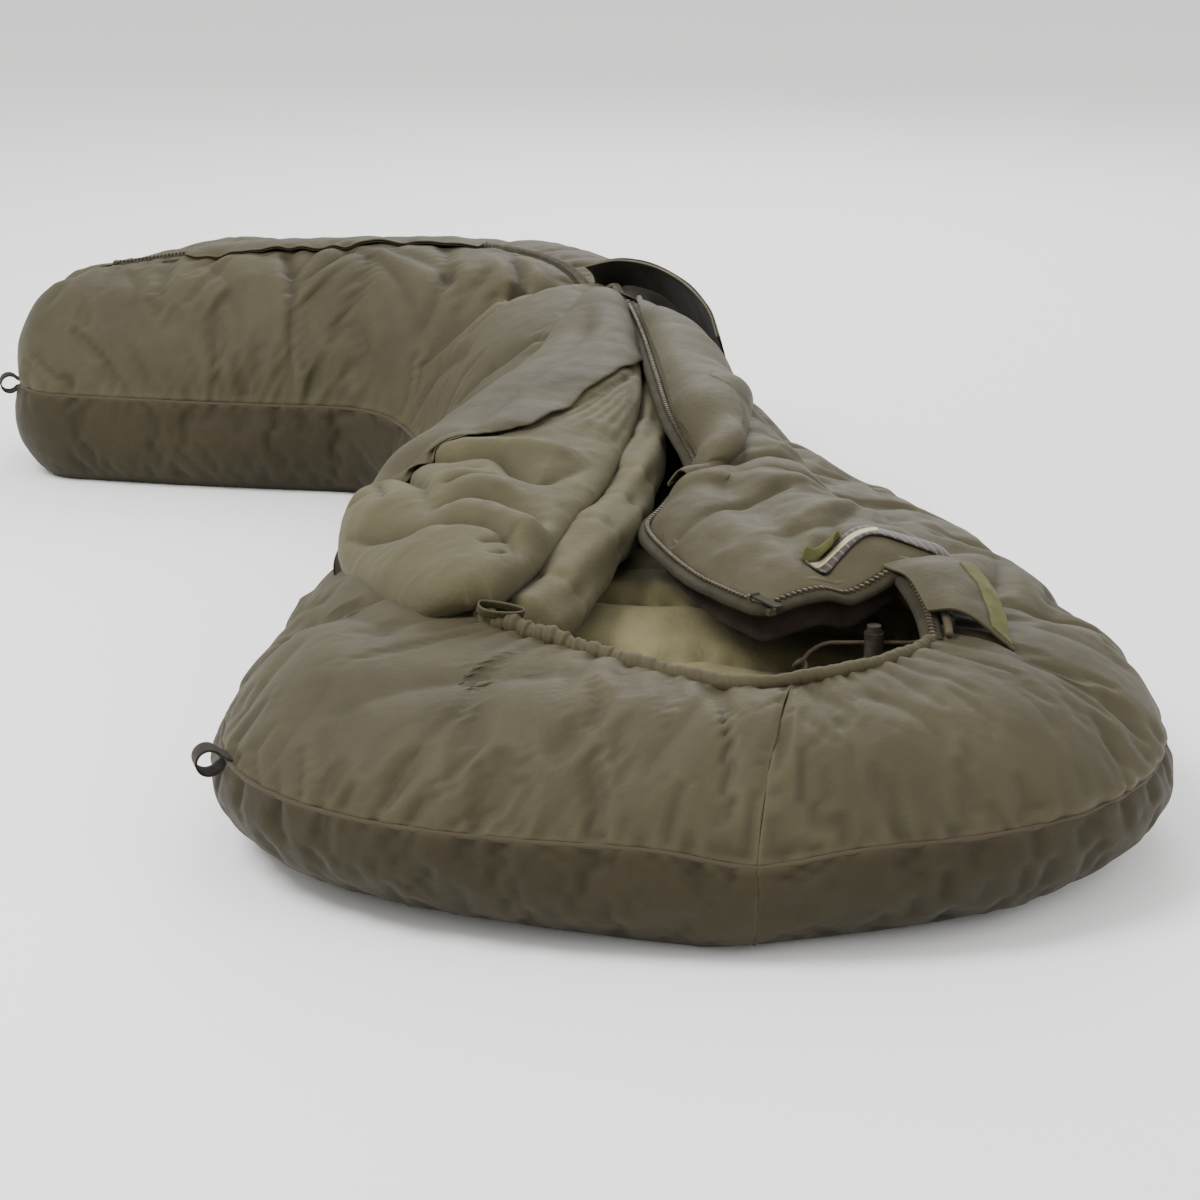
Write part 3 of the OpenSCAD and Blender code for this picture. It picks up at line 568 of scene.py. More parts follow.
trunk_zip = centre_line("trunk_zip_teeth", 1, 0.02)
leg_zip = centre_line("leg_zip_teeth", 0, 0.02)[::-1]
zip_line = np.concatenate([trunk_zip, leg_zip])
tip_steps = np.linspace(0, 1, 16)[1:]
ridge = np.array([zip_line[-1] * (1 - s) + foot_tip * s for s in tip_steps])
for p in ridge:
    tops = [top_of(leg_top_tree, p, np.array([0, o, 0])) for o in (-5, -3, 0, 3, 5)]
    p[2] = max([leg_seam_z] + [h for h in tops if h is not None])
ridge[-1, 2] = leg_seam_z
zip_line = np.concatenate([zip_line, ridge])
zip_line[:, 2] += 0.002
# The filled legs sag a little, most of all towards the foot.
zip_line[:, 2] -= (0.007 * np.clip((-0.12 - zip_line[:, 0]) / 0.15, 0, 1)
                   + 0.014 * np.clip((-0.45 - zip_line[:, 0]) / 0.20, 0, 1) ** 2)
zip_line[-1, 2] = leg_seam_z
zip_line = smooth_path(resample(zip_line, 260), 6)
side = beside(zip_line)
left_mouth = mouth_edge(-175 - crown_slant)
right_mouth = mouth_edge(172 - crown_slant)
zip_end_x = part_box("leg_zip_teeth")[0].x
slot = (0.009 * np.clip((zip_line[:, 0] - zip_end_x + 0.03) / 0.03, 0.02, 1))[:, None]
left_inner = np.concatenate([left_mouth, zip_line - slot * side])
right_inner = np.concatenate([right_mouth, zip_line + slot * side])
left_inner = smooth_path(resample(left_inner, 500), 6)
right_inner = smooth_path(resample(right_inner, 500), 6)

# Rows and columns of each upper skin's grid.
rows, cols = 257, 29


def matched(seam, inner, pairs):
    """Seam and inner points in rows, so that each pair of anchors falls on one row."""
    s_end, q_end = arc_length(seam)[-1], arc_length(inner)[-1]
    s_marks = [0.0] + [nearest_s(seam, a) for a, _ in pairs] + [s_end]
    q_marks = [0.0] + [nearest_s(inner, b) for _, b in pairs] + [q_end]
    s = np.linspace(0, s_end, rows)
    q = np.interp(s, s_marks, q_marks)
    q = np.convolve(np.pad(q, 8, mode="reflect", reflect_type="odd"), np.ones(17) / 17, mode="valid")
    q = np.clip(q, 0, q_end)
    q[0], q[-1] = 0, q_end
    return sample(seam, s), sample(inner, q)


left_pairs = [((-0.313, -0.60), (-0.09, -0.62)), ((-0.19, 0.0), (-0.005, 0.0)),
              ((-0.20, 0.20), (0.02, 0.25)), ((-0.222, 0.375), (0.0, 0.43)), ((-0.33, 0.42), (-0.10, 0.55)),
              ((-0.64, 0.45), (-0.60, 0.63))]
right_pairs = [((0.463, -0.60), (0.28, -0.62)), ((0.25, 0.0), (0.14, 0.0)), ((0.166, 0.25), (0.045, 0.25)),
               ((0.133, 0.40), (0.01, 0.40)), ((0.10, 0.68), (-0.04, 0.52)), ((-0.58, 0.83), (-0.60, 0.63))]
left_p, left_q = matched(left_seam, left_inner, left_pairs)
right_p, right_q = matched(right_seam, right_inner, right_pairs)


def crown_panel(p, q):
    """Rounded panel from the seam p up to the inner edge q, as the CAD panels are."""
    a = np.linspace(0, math.pi / 2, cols)
    lean = (1 - np.cos(a)) * 0.55 + a * 0.9 / math.pi
    share = np.stack([lean, lean, np.sin(a) ** 0.85], axis=1)
    return p[:, None] + (q - p)[:, None] * share[None]


left_grid = crown_panel(left_p, left_q)
right_grid = crown_panel(right_p, right_q)


def edges_pinned(grid):
    """Cloth simulation pins: 1 along all four edges of a grid."""
    pin = np.zeros(grid.shape[:2])
    pin[0] = pin[-1] = pin[:, 0] = pin[:, -1] = 1
    return pin


def swell(grid, seed, flip, pressure=2.5, shrink=-0.03, most=0.016):
    """Lets pressure puff a skin out between its sewn edges, by no more than a set distance."""
    wobble = 0.002 * smooth_noise(grid, 0.09, seed)[..., None] * grid_normals(grid)
    start = grid + wobble * (1 - edges_pinned(grid))[..., None]
    moved = settle(start, edges_pinned(grid), pressure, shrink, flip=flip)
    return cap_move(start, moved, most)


left_soft = swell(left_grid, seed=11, flip=True)
right_soft = swell(right_grid, seed=12, flip=False)
# The trunk's far shoulder lies lower than its middle, pressed down behind the opened flap.
x, y, z = right_soft[..., 0], right_soft[..., 1], right_soft[..., 2]
right_soft[..., 2] -= (0.034 * np.exp(-((y - 0.06) / 0.21) ** 2) * np.clip((x - 0.085) / 0.07, 0, 1)
                       * np.clip((z - 0.10) / 0.08, 0, 1))

# ---------------------------------------------------------------- folds, puckers and creases


def across_legs(piece):
    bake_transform(piece)


def ease(x):
    x = np.clip(x, 0, 1)
    return x * x * (3 - 2 * x)


def pucker_field(s, d, seed, spacing, depth, reach, width):
    """Valleys that start at a seam (d = 0) and fade with distance d; s runs along the seam.

    Spacing, depth, reach and width are each a lowest and a highest value in metres.
    """
    draw = np.random.default_rng(seed)
    field = np.zeros_like(s)
    end = s.max()
    at = draw.uniform(0, spacing[1])
    while at < end:
        deep = draw.uniform(*depth)
        far = draw.uniform(*reach)
        wide = draw.uniform(*width)
        slant = draw.uniform(-0.35, 0.35)
        bend = draw.uniform(-2.0, 2.0)
        near = np.abs(s - at) < 0.09
        ds = s[near] - at - slant * d[near] - bend * d[near] ** 2
        spread = wide * (1 + 1.2 * d[near] / far)
        fade = np.exp(-(d[near] / far) ** 2) * ease((d[near] + 0.002) / 0.006)
        valley, banks = np.exp(-(ds / spread) ** 2), np.exp(-(ds / (2.2 * spread)) ** 2)
        field[near] -= deep * fade * (1.3 * valley - 0.55 * banks)
        at += draw.uniform(*spacing)
    return field


def crease_field(xy, creases):
    """Valleys along short listed lines in plan: x0, y0, x1, y1, depth, width."""
    field = np.zeros(xy.shape[:-1])
    for x0, y0, x1, y1, deep, wide in creases:
        a, b = np.array([x0, y0]), np.array([x1, y1])
        ab = b - a
        length = np.linalg.norm(ab)
        t = np.clip(((xy - a) @ ab) / length ** 2, -0.2, 1.2)
        bow = 0.06 * length * np.sin(np.pi * t)
        normal = np.array([-ab[1], ab[0]]) / length
        off = np.abs((xy - a - t[..., None] * ab) @ normal - bow)
        along = ease((t + 0.15) / 0.3) * ease((1.15 - t) / 0.3)
        end_off = np.linalg.norm(xy - a - t[..., None] * ab, axis=-1)
        off = np.maximum(off, np.where((t <= -0.2) | (t >= 1.2), end_off, off))
        sharp = np.exp(-np.sqrt(off ** 2 + 0.005 ** 2) / wide)
        field -= deep * along * (1.6 * sharp - 0.5 * np.exp(-(off / (2.4 * wide)) ** 2))
    return field


def fold_field(xyz, seed, scale, stretch, angle, amount):
    """Long soft folds: ridged noise, stretched along an angle in plan (degrees from +X)."""
    c, s = math.cos(math.radians(angle)), math.sin(math.radians(angle))
    u = xyz[..., 0] * c + xyz[..., 1] * s
    v = -xyz[..., 0] * s + xyz[..., 1] * c
    p = np.stack([u / stretch, v, xyz[..., 2] * 0.6], axis=-1)
    n = smooth_noise(p, scale, seed)
    return amount * (0.5 - (n * n + 0.006) ** 0.35)


def edge_distance(grid, from_start=True):
    """Distance of each point along its row from the row's first or last point."""
    g = grid if from_start else grid[:, ::-1]
    step = np.linalg.norm(np.diff(g, axis=1), axis=2)
    d = np.concatenate([np.zeros((len(g), 1)), np.cumsum(step, axis=1)], axis=1)
    return d if from_start else d[:, ::-1]


def along_rows(grid):
    s = arc_length(grid[:, 0])
    return np.repeat(s[:, None], grid.shape[1], axis=1)


def raised(g, h, n):
    """Moves a grid out by the heights h, and evens h out wherever the cloth would turn over on itself."""
    for _ in range(24):
        turned = np.abs((grid_normals(g + h[..., None] * n) * n).sum(axis=-1)) < 0.45
        if not turned.any():
            break
        for axis in (0, 1):
            turned = turned | np.roll(turned, 1, axis) | np.roll(turned, -1, axis)
        even = h.copy()
        even[1:-1, 1:-1] = (h[:-2, 1:-1] + h[2:, 1:-1] + h[1:-1, :-2] + h[1:-1, 2:]) / 4
        h = np.where(turned, even, h)
    return g + h[..., None] * n


def upper_sheet(soft, seed, creases):
    """Fine grid of an upper skin, with puckers at its seams, soft folds and creases."""
    g = upsample(upsample(upsample(soft, 1), 0), 0)
    n = normals_up(g)
    d0, d1 = edge_distance(g), edge_distance(g, False)
    s = along_rows(g)
    far_s = np.repeat(arc_length(g[:, -1])[:, None], g.shape[1], axis=1)
    bulk = ease(d0 / 0.05) * ease(d1 / 0.05)
    h = pucker_field(s, d0, seed, (0.016, 0.055), (0.0010, 0.0036), (0.014, 0.060), (0.0035, 0.009))
    h += pucker_field(far_s, d1, seed + 1, (0.014, 0.032), (0.001, 0.003), (0.012, 0.045), (0.003, 0.006))
    h += bulk * 0.0045 * smooth_noise(g, 0.11, seed + 2)
    h += bulk * fold_field(g, seed + 3, 0.11, 2.6, 118, 0.0050)
    h += bulk * fold_field(g, seed + 4, 0.055, 3.0, 62, 0.0018)
    h += ease(d0 / 0.02) * ease(d1 / 0.02) * 0.0005 * smooth_noise(g, 0.020, seed + 5)
    h += ease(d0 / 0.03) * ease(d1 / 0.03) * crease_field(g[..., :2], creases)
    return raised(g, h, n)


left_creases = [
    # The long hollow across the hood, and folds that run from the hem to the seam.
    (-0.215, -0.735, -0.02, -0.728, 0.011, 0.034),
    (0.082, -0.772, 0.036, -0.840, 0.006, 0.009), (0.020, -0.760, -0.040, -0.822, 0.005, 0.010),
    (-0.110, -0.770, -0.160, -0.812, 0.006, 0.010), (-0.215, -0.700, -0.262, -0.752, 0.006, 0.012),
    (-0.245, -0.600, -0.296, -0.660, 0.007, 0.012), (-0.240, -0.470, -0.278, -0.560, 0.005, 0.012),
    # The deep fold inside the bend and the pinched quilting line of the legs.
    (-0.104, 0.485, -0.098, 0.368, 0.024, 0.010), (-0.098, 0.372, -0.150, 0.326, 0.022, 0.011),
    (-0.060, 0.400, -0.085, 0.330, 0.006, 0.012),
    (-0.200, 0.330, -0.150, 0.270, 0.012, 0.012), (-0.130, 0.450, -0.170, 0.400, 0.006, 0.010),
    (-0.262, -0.510, -0.170, -0.625, 0.011, 0.034),
    (-0.180, 0.470, -0.215, 0.395, 0.012, 0.013), (-0.384, 0.560, -0.374, 0.360, 0.014, 0.0075),
    (-0.345, 0.575, -0.374, 0.500, 0.010, 0.010),
    (-0.392, 0.430, -0.440, 0.410, 0.005, 0.008), (-0.368, 0.420, -0.330, 0.405, 0.005, 0.008),
    (-0.320, 0.560, -0.215, 0.415, 0.008, 0.010), (-0.265, 0.540, -0.165, 0.430, 0.008, 0.010),
    (-0.480, 0.540, -0.430, 0.450, 0.006, 0.014),
    (-0.580, 0.560, -0.560, 0.480, 0.006, 0.014), (-0.640, 0.590, -0.668, 0.520, 0.006, 0.012)]
right_creases = [
    # Folds from the hem towards the seam, and the sharp crease where hood and trunk meet.
    (0.060, 0.318, 0.118, 0.215, 0.014, 0.016),
    (0.206, -0.758, 0.262, -0.812, 0.008, 0.012), (0.170, -0.780, 0.190, -0.838, 0.005, 0.009),
    (0.330, -0.672, 0.432, -0.712, 0.008, 0.013), (0.300, -0.715, 0.350, -0.775, 0.005, 0.011),
    (0.352, -0.420, 0.318, -0.560, 0.014, 0.011), (0.392, -0.460, 0.372, -0.560, 0.008, 0.018),
    (0.360, -0.590, 0.436, -0.610, 0.006, 0.013), (0.300, -0.300, 0.330, -0.400, 0.006, 0.013),
    (0.240, -0.120, 0.275, -0.240, 0.007, 0.014), (0.170, 0.060, 0.235, -0.060, 0.006, 0.014),
    (0.080, 0.330, 0.155, 0.220, 0.009, 0.016), (0.020, 0.560, 0.100, 0.500, 0.008, 0.016),
    (-0.120, 0.640, -0.060, 0.760, 0.008, 0.016), (-0.384, 0.640, -0.380, 0.790, 0.008, 0.007),
    (-0.250, 0.640, -0.210, 0.760, 0.006, 0.014), (-0.520, 0.660, -0.500, 0.780, 0.006, 0.013)]
left_skin = upper_sheet(left_soft, 41, left_creases)
right_skin = upper_sheet(right_soft, 61, right_creases)

near_top = sheet("near_upper_skin", left_skin, shell_mat, SKIN, offset=1.0)
far_top = sheet("far_upper_skin", right_skin[:, ::-1], shell_mat, SKIN, offset=1.0)
for piece, names in ((near_top, ("upper_shell_left", "upper_insulation_left", "upper_liner_left",
                                 "leg_upper_shell_near")),
                     (far_top, ("upper_shell_right", "upper_insulation_right", "upper_liner_right",
                                "leg_upper_shell_far", "leg_upper_insulation"))):
    across_legs(piece)
    attach(piece, None, "shell_fabric", *names)


# ---------------------------------------------------------------- the base: one tray under both uppers

wall_cols = 15
floor_cols = 9


def base_wall(seam):
    """Side wall from the seam down to the ground: it bulges a little and turns under at the foot."""
    out = beside(seam)[:, :2]
    out *= np.sign(out[10] @ (seam[10, :2] - trunk_centre))
    grid = np.empty((len(seam), wall_cols, 3))
    # The wall turns under further at the two round corners of the hood.
    dx, dy = np.abs(seam[:, 0] - 0.075) / 0.388, np.clip(-0.6 - seam[:, 1], 0, 1) / 0.274
    tuck = 0.027 + 0.032 * 2 * dx * dy / (dx ** 2 + dy ** 2 + 0.001)
    for j, t in enumerate(np.linspace(1, 0, wall_cols)):
        shift = (0.010 * math.sin(math.pi * t ** 0.8) - tuck * (1 - t) ** 2.8)[:, None]
        grid[:, j, :2] = seam[:, :2] + shift * out
        grid[:, j, 2] = np.maximum(seam[:, 2] * (1 - (1 - t) ** 1.15), 0.0012)
    return grid


def base_grid():
    """Coarse grid of the tray, from the left seam under the bag to the right seam."""
    left, right = base_wall(left_p), base_wall(right_p)
    low_l, low_r = left[:, -1], right[:, -1]
    w = np.linspace(0, 1, floor_cols + 2)[1:-1]
    under = low_l[:, None] * (1 - w)[None, :, None] + low_r[:, None] * w[None, :, None]
    return np.concatenate([left, under, right[:, ::-1]], axis=1)


def join_crown(g):
    """Both ends of the first row are one line under the crown seam, so their points agree there."""
    half = g.shape[1] // 2
    for row in range(6):
        w = 0.5 * (1 - row / 6) ** 2
        left, right = g[row, :half].copy(), g[row, -half:][::-1].copy()
        g[row, :half] = left * (1 - w) + right * w
        g[row, -half:] = (right * (1 - w) + left * w)[::-1]
    g[0, half] = 0.5 * (g[0, half - 1] + g[0, -half])
    return g


def base_skin(seed):
    """Fine grid of the tray: both walls and the floor, puckered below the side seam."""
    g = base_grid()
    pin = np.zeros(g.shape[:2])
    pin[-1] = pin[:, 0] = pin[:, -1] = 1
    pin[:, wall_cols - 2:-wall_cols + 2] = 1
    g = cap_move(g, settle(g, pin, 2.0, -0.02, flip=False), 0.010)
    wide = upsample(g[:, :wall_cols], 1), g[:, wall_cols:-wall_cols], upsample(g[:, -wall_cols:], 1)
    g = upsample(upsample(np.concatenate(wide, axis=1), 0), 0)
    g = join_crown(g)
    n = grid_normals(g)
    middle = (len(g) // 4, wall_cols)
    n = n if n[middle][:2] @ (g[middle][:2] - trunk_centre) > 0 else -n
    s = along_rows(g)
    d, e = edge_distance(g), edge_distance(g, False)
    near = np.minimum(d, e)
    side = ease((g[..., 2] - 0.004) / 0.02)
    h = pucker_field(s, d, seed, (0.020, 0.060), (0.0008, 0.0026), (0.014, 0.045), (0.0035, 0.008))
    h += pucker_field(s, e, seed + 7, (0.020, 0.060), (0.0008, 0.0026), (0.014, 0.045), (0.0035, 0.008))
    h += ease(near / 0.03) * fold_field(g, seed + 1, 0.09, 2.5, 100, 0.003)
    h += ease(near / 0.02) * 0.0016 * smooth_noise(g, 0.045, seed + 2)
    h += ease(near / 0.012) * 0.0006 * smooth_noise(g, 0.015, seed + 3)
    g = g + (side * h)[..., None] * n
    g = join_crown(g)
    g[..., 2] = np.maximum(g[..., 2], 0.0008)
    return g


# The tray wears the shell cloth painted darker, as painted shade.
base_piece = sheet("base_tray_skin", base_skin(91), shaded_shell_mat, SKIN, offset=1.0)
across_legs(base_piece)
attach(base_piece, None, "shell_fabric", "base_shell", "base_insulation", "base_liner", "leg_base_shell",
       "leg_base_insulation", "leg_liner")


# ---------------------------------------------------------------- tubes


def frames_along(path, closed):
    """Side and up vectors along a path; up stays near +Z."""
    t = unit(np.roll(path, -1, axis=0) - np.roll(path, 1, axis=0) if closed else np.gradient(path, axis=0))
    side = unit(np.cross(t, UP))
    return side, np.cross(side, t)


def tube(name, path, radius, material, sides=12, profile=None, squash_z=1.0, closed=False):
    """Swept tube; profile(i, angle) scales the radius."""
    side, up = frames_along(path, closed)
    n = len(path)
    grid = np.empty((n, sides, 3))
    for k, a in enumerate(np.linspace(0, 2 * math.pi, sides, endpoint=False)):
        r = (radius * (profile(np.arange(n), a) if profile else np.ones(n)))[:, None]
        grid[:, k] = path + r * (side * math.cos(a) + up * (math.sin(a) * squash_z))
    faces = grid_faces(n, sides, wrap=True)
    if closed:
        faces += [((n - 1) * sides + k, (n - 1) * sides + (k + 1) % sides, (k + 1) % sides, k)
                  for k in range(sides)]
    else:
        faces += [tuple(range(sides)), tuple((n - 1) * sides + k for k in reversed(range(sides)))]
    return fix_normals(new_mesh(name, grid.reshape(-1, 3), [f[::-1] for f in faces], material))


def fix_normals(obj):
    bm = bmesh.new()
    bm.from_mesh(obj.data)
    bmesh.ops.recalc_face_normals(bm, faces=bm.faces)
    bm.to_mesh(obj.data)
    bm.free()
    return obj


seam_loop = np.concatenate([left_p[::-1], right_p[1:-1]])
seam_loop = resample(np.concatenate([seam_loop, seam_loop[:1]]), 1400)[:-1]
piping = tube("seam_cord", seam_loop, 0.0021, piping_mat, sides=8, closed=True)
across_legs(piping)
attach(piping, None, "shell_fabric", "side_seam_piping", "leg_seam_piping")

# ---------------------------------------------------------------- inside of the bag

inside_rows = int(np.argmax(left_q[:, 1] > 0.33))
in_l, in_r = left_q[:inside_rows], right_q[:inside_rows]


def outward(path, centre):
    """Level vectors at right angles to a path, away from a centre."""
    out = beside(path)
    return out * np.sign(np.median(np.sign((out[:, :2] * (path[:, :2] - centre)).sum(axis=1))))


out_l = outward(in_l, mouth_centre)
out_r = outward(in_r, mouth_centre)
out_l[0] = out_r[0] = unit(out_l[1] + out_r[1])
floor_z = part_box("base_liner")[1].z + 0.004


def lining_wall(edge, out):
    """From the mouth's edge down behind the padded lip to the floor."""
    cols_here = 13
    grid = np.empty((len(edge), cols_here, 3))
    for j, t in enumerate(np.linspace(0, 1, cols_here)):
        lip = 0.006 * math.sin(math.pi * min(1.0, t * 2))
        back = 0.034 * math.sin(min(1.0, t * 1.15) * math.pi / 2) ** 1.6
        grid[:, j] = edge + (back - lip) * out
        grid[:, j, 2] = (edge[:, 2] - 0.004) * (1 - t) + floor_z * t
    return grid


wall_l = lining_wall(in_l, out_l)
wall_r = lining_wall(in_r, out_r)
w = np.linspace(0, 1, 42)[1:-1]
across = wall_l[:, -1][:, None] * (1 - w)[None, :, None] + wall_r[:, -1][:, None] * w[None, :, None]
bowl = np.concatenate([wall_l, across, wall_r[:, ::-1]], axis=1)
bowl = upsample(upsample(bowl, 0), 1)
bn = normals_up(bowl)
x, y, z = bowl[..., 0], bowl[..., 1], bowl[..., 2]
low_part = ease((0.125 - z) / 0.03)
# Quilting: stitched rows across the floor, each bowed a little, with puckers along the stitching.
row_pitch = 0.105
bow = 0.012 * np.sin(x * 21 + 0.6) + 0.006 * np.sin(x * 53)
phase = (y + bow) / row_pitch
row = np.abs(phase - np.round(phase)) * row_pitch
puff = 1 - np.exp(-(row / 0.014) ** 2)
ripple = np.sin(x * 230 + 3 * np.sin(y * 40)) * np.exp(-(row / 0.012) ** 2)
h = low_part * (0.0100 * puff + 0.0018 * ripple + 0.004 * smooth_noise(bowl, 0.06, 301))
h += low_part * fold_field(bowl, 305, 0.05, 2.0, 20, 0.004)
rise = 1 - low_part
upright = bowl * np.array([1, 1, 0.3])
h += rise * (0.004 * smooth_noise(bowl, 0.05, 302) + 0.003 * smooth_noise(upright, 0.022, 303))
h += 0.0007 * smooth_noise(bowl, 0.013, 304)
# The padded floor swells up in the middle of the hood.
h += low_part * 0.045 * np.exp(-((x - 0.03) / 0.12) ** 2 - ((y + 0.40) / 0.20) ** 2)
# The inside lining is painted lighter than the liner cloth, as painted light.
lining = sheet("sleeping_space_lining", bowl + h[..., None] * bn, lit_lining_mat)
attach(lining, "bag", "liner_fabric")

# ---------------------------------------------------------------- gathered hood hem

hem_left = left_q[left_q[:, 1] < -0.575]
hem_left = hem_left[:int(np.argmin(hem_left[:, 0])) + 3]
hem_right = right_q[right_q[:, 1] < -0.565]
hem_right = hem_right[:int(np.argmax(hem_right[:, 0])) + 3]
hem_path = np.concatenate([hem_left[::-1], hem_right[1:]])
hem_path = smooth_path(resample(hem_path, 420), 10)
hem_s = arc_length(hem_path)
gather = np.interp(hem_s / hem_s[-1], [0, 0.08, 0.28, 0.42, 0.75, 0.9, 1],
                   [1.0, 1.0, 0.75, 0.3, 0.3, 0.7, 1.0])
draw = np.random.default_rng(515)
phase = np.cumsum(draw.uniform(0.30, 0.72, len(hem_s))) * 1.15


def hem_shape(i, a):
    pleat = np.sin(phase[i] + 0.9 * math.sin(a))
    slow = 0.09 * np.sin(hem_s[i] * 31 + 1.0) + 0.05 * np.sin(hem_s[i] * 77)
    fine = np.sin(2.3 * phase[i] + 2.0 * a)
    return 1 + gather[i] * (0.13 * pleat + 0.06 * fine) + slow


hem_path[:, 2] += -0.001 + 0.0025 * np.sin(hem_s * 24) + gather * 0.0015 * np.sin(phase * 0.31)
hem_radius = 0.0076 + 0.0014 * np.sin(hem_s * 12)
hem = tube("hood_hem_gathered", hem_path, hem_radius, hem_mat, sides=20, profile=hem_shape, squash_z=1.05)
attach(hem, "bag", "shell_fabric", "hood_hem")

# Inner facing of the hem: a short gathered band that hangs below the tube.
inward = unit((np.array([*mouth_centre, 0]) - hem_path) * np.array([1, 1, 0]))
band = np.stack([hem_path + inward * (0.004 + 0.016 * v) - UP * (0.004 + 0.034 * v ** 1.2)
                 + inward * (0.003 * gather * np.sin(phase * 0.8) * v)[:, None]
                 for v in np.linspace(0, 1, 9)], axis=1)
facing = sheet("hood_hem_facing", band, liner_mat, FACING, offset=0.0)
attach(facing, "bag", "liner_fabric")

# ---------------------------------------------------------------- draft tube

tube_points = np.array([(-0.070, -0.600, 0.154), (-0.032, -0.500, 0.172), (-0.002, -0.400, 0.182),
                        (0.020, -0.300, 0.184), (0.036, -0.210, 0.194), (0.046, -0.130, 0.204),
                        (0.050, -0.060, 0.212), (0.044, 0.040, 0.222), (0.034, 0.120, 0.230)])
tube_line = smooth_path(resample(tube_points, 260), 24)
tube_s = arc_length(tube_line)
draw = np.random.default_rng(616)
stitch = np.cumsum(draw.uniform(0.05, 0.13, 12))


def tube_shape(i, a):
    s = tube_s[i]
    near = np.min(np.abs(s[:, None] - stitch[None]), axis=1)
    pinch = np.exp(-(near / 0.008) ** 2)
    lump = 0.07 * np.sin(s * 30 + 2 * math.sin(a)) + 0.035 * np.sin(s * 71 + 3 * math.cos(a))
    pleat = 0.045 * np.sin(5 * a + s * 22) + 0.05 * np.sin(8 * a + s * 15) * np.exp(-(near / 0.02) ** 2)
    ends = ease(s / 0.03) * ease((tube_s[-1] - s) / 0.03)
    return (1 + lump - 0.055 * pinch + pleat) * (0.25 + 0.75 * ends)


tube_radius = np.interp(tube_s / tube_s[-1], [0, 0.2, 0.5, 0.75, 1], [0.031, 0.029, 0.026, 0.018, 0.012])
draft = tube("draft_tube_padded", tube_line, tube_radius, liner_mat, sides=32, profile=tube_shape,
             squash_z=1.05)
attach(draft, "bag", "liner_fabric", "draft_tube")

# ---------------------------------------------------------------- left front, folded open with its lining up


def through_points(points, n, passes=0):
    """Smooth curve through a few given points, at n even steps of arc length."""
    pts = np.array(points, float)
    ext = np.concatenate([[2 * pts[0] - pts[1]], pts, [2 * pts[-1] - pts[-2]]])
    out = []
    for i in range(len(pts) - 1):
        a, b, c, d = ext[i:i + 4]
        for t in np.linspace(0, 1, 24, endpoint=False):
            out.append(0.5 * (2 * b + (c - a) * t + (2 * a - 5 * b + 4 * c - d) * t ** 2
                              + (3 * b - a - 3 * c + d) * t ** 3))
    out.append(pts[-1])
    path = resample(np.array(out), n)
    return smooth_path(path, passes)


hinge = {j["name"]: (np.array(j["pos_m"]), np.array(j["axis"])) for j in frame["joints"] if "pos_m" in j}


def swing_blend(piece):
    """Bakes the piece's place into its mesh."""
    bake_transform(piece)


# Free edge, from the lower corner up to the top of the opening, and the fold line beside it.
free_edge = through_points([(-0.104, -0.600, 0.187), (-0.148, -0.586, 0.184), (-0.180, -0.535, 0.180),
                            (-0.220, -0.450, 0.180), (-0.236, -0.350, 0.182), (-0.214, -0.230, 0.190),
                            (-0.160, -0.110, 0.204), (-0.100, 0.010, 0.222), (-0.046, 0.120, 0.240),
                            (-0.006, 0.210, 0.254)], 150, 3)
fold_edge = through_points([(-0.090, -0.602, 0.187), (-0.075, -0.580, 0.190), (-0.052, -0.520, 0.194),
                            (-0.028, -0.430, 0.199), (-0.002, -0.340, 0.204), (0.018, -0.240, 0.211),
                            (0.034, -0.140, 0.220), (0.042, -0.060, 0.230), (0.042, 0.040, 0.243),
                            (0.034, 0.130, 0.254), (0.024, 0.200, 0.264)], 150, 3)


def open_flap():
    """Mid surface of the flap: arched between its fold and its free edge, which hangs over the side."""
    v = np.linspace(0, 1, 40)
    g = fold_edge[:, None] * (1 - v)[None, :, None] + free_edge[:, None] * v[None, :, None]
    width = np.linalg.norm((free_edge - fold_edge)[:, :2], axis=1)
    arch = np.sin(math.pi * v)[None] * (0.10 * width)[:, None]
    g[..., 2] += arch - 0.02 * (v[None] ** 3) * ease(width / 0.12)[:, None]
    return g


flap_mid = open_flap()


def laid_flat(grid, t, v):
    """Places on a flap laid flat, in metres, for fractions t of its length and v of its width."""
    wide = np.linalg.norm(grid[:, -1] - grid[:, 0], axis=1)
    here = np.interp(t, np.linspace(0, 1, len(wide)), wide)
    return np.stack([t * arc_length(grid[:, 0])[-1], v * here], axis=-1)


def over(grid, *patches):
    """Raised rolls: each patch is (t0, v0, t1, v1, height, width) in the flap's own 0-1 coordinates."""
    t, v = unit_steps(grid)
    p = laid_flat(grid, t, v)
    h = np.zeros(t.shape)
    for t0, v0, t1, v1, height, width in patches:
        a, b = laid_flat(grid, np.array([t0, t1]), np.array([v0, v1]))
        ab = b - a
        s = np.clip(((p - a) @ ab) / (ab @ ab), 0, 1)
        off = np.linalg.norm(p - a - s[..., None] * ab, axis=-1)
        h += height * np.exp(-(off / width) ** 2)
    return h


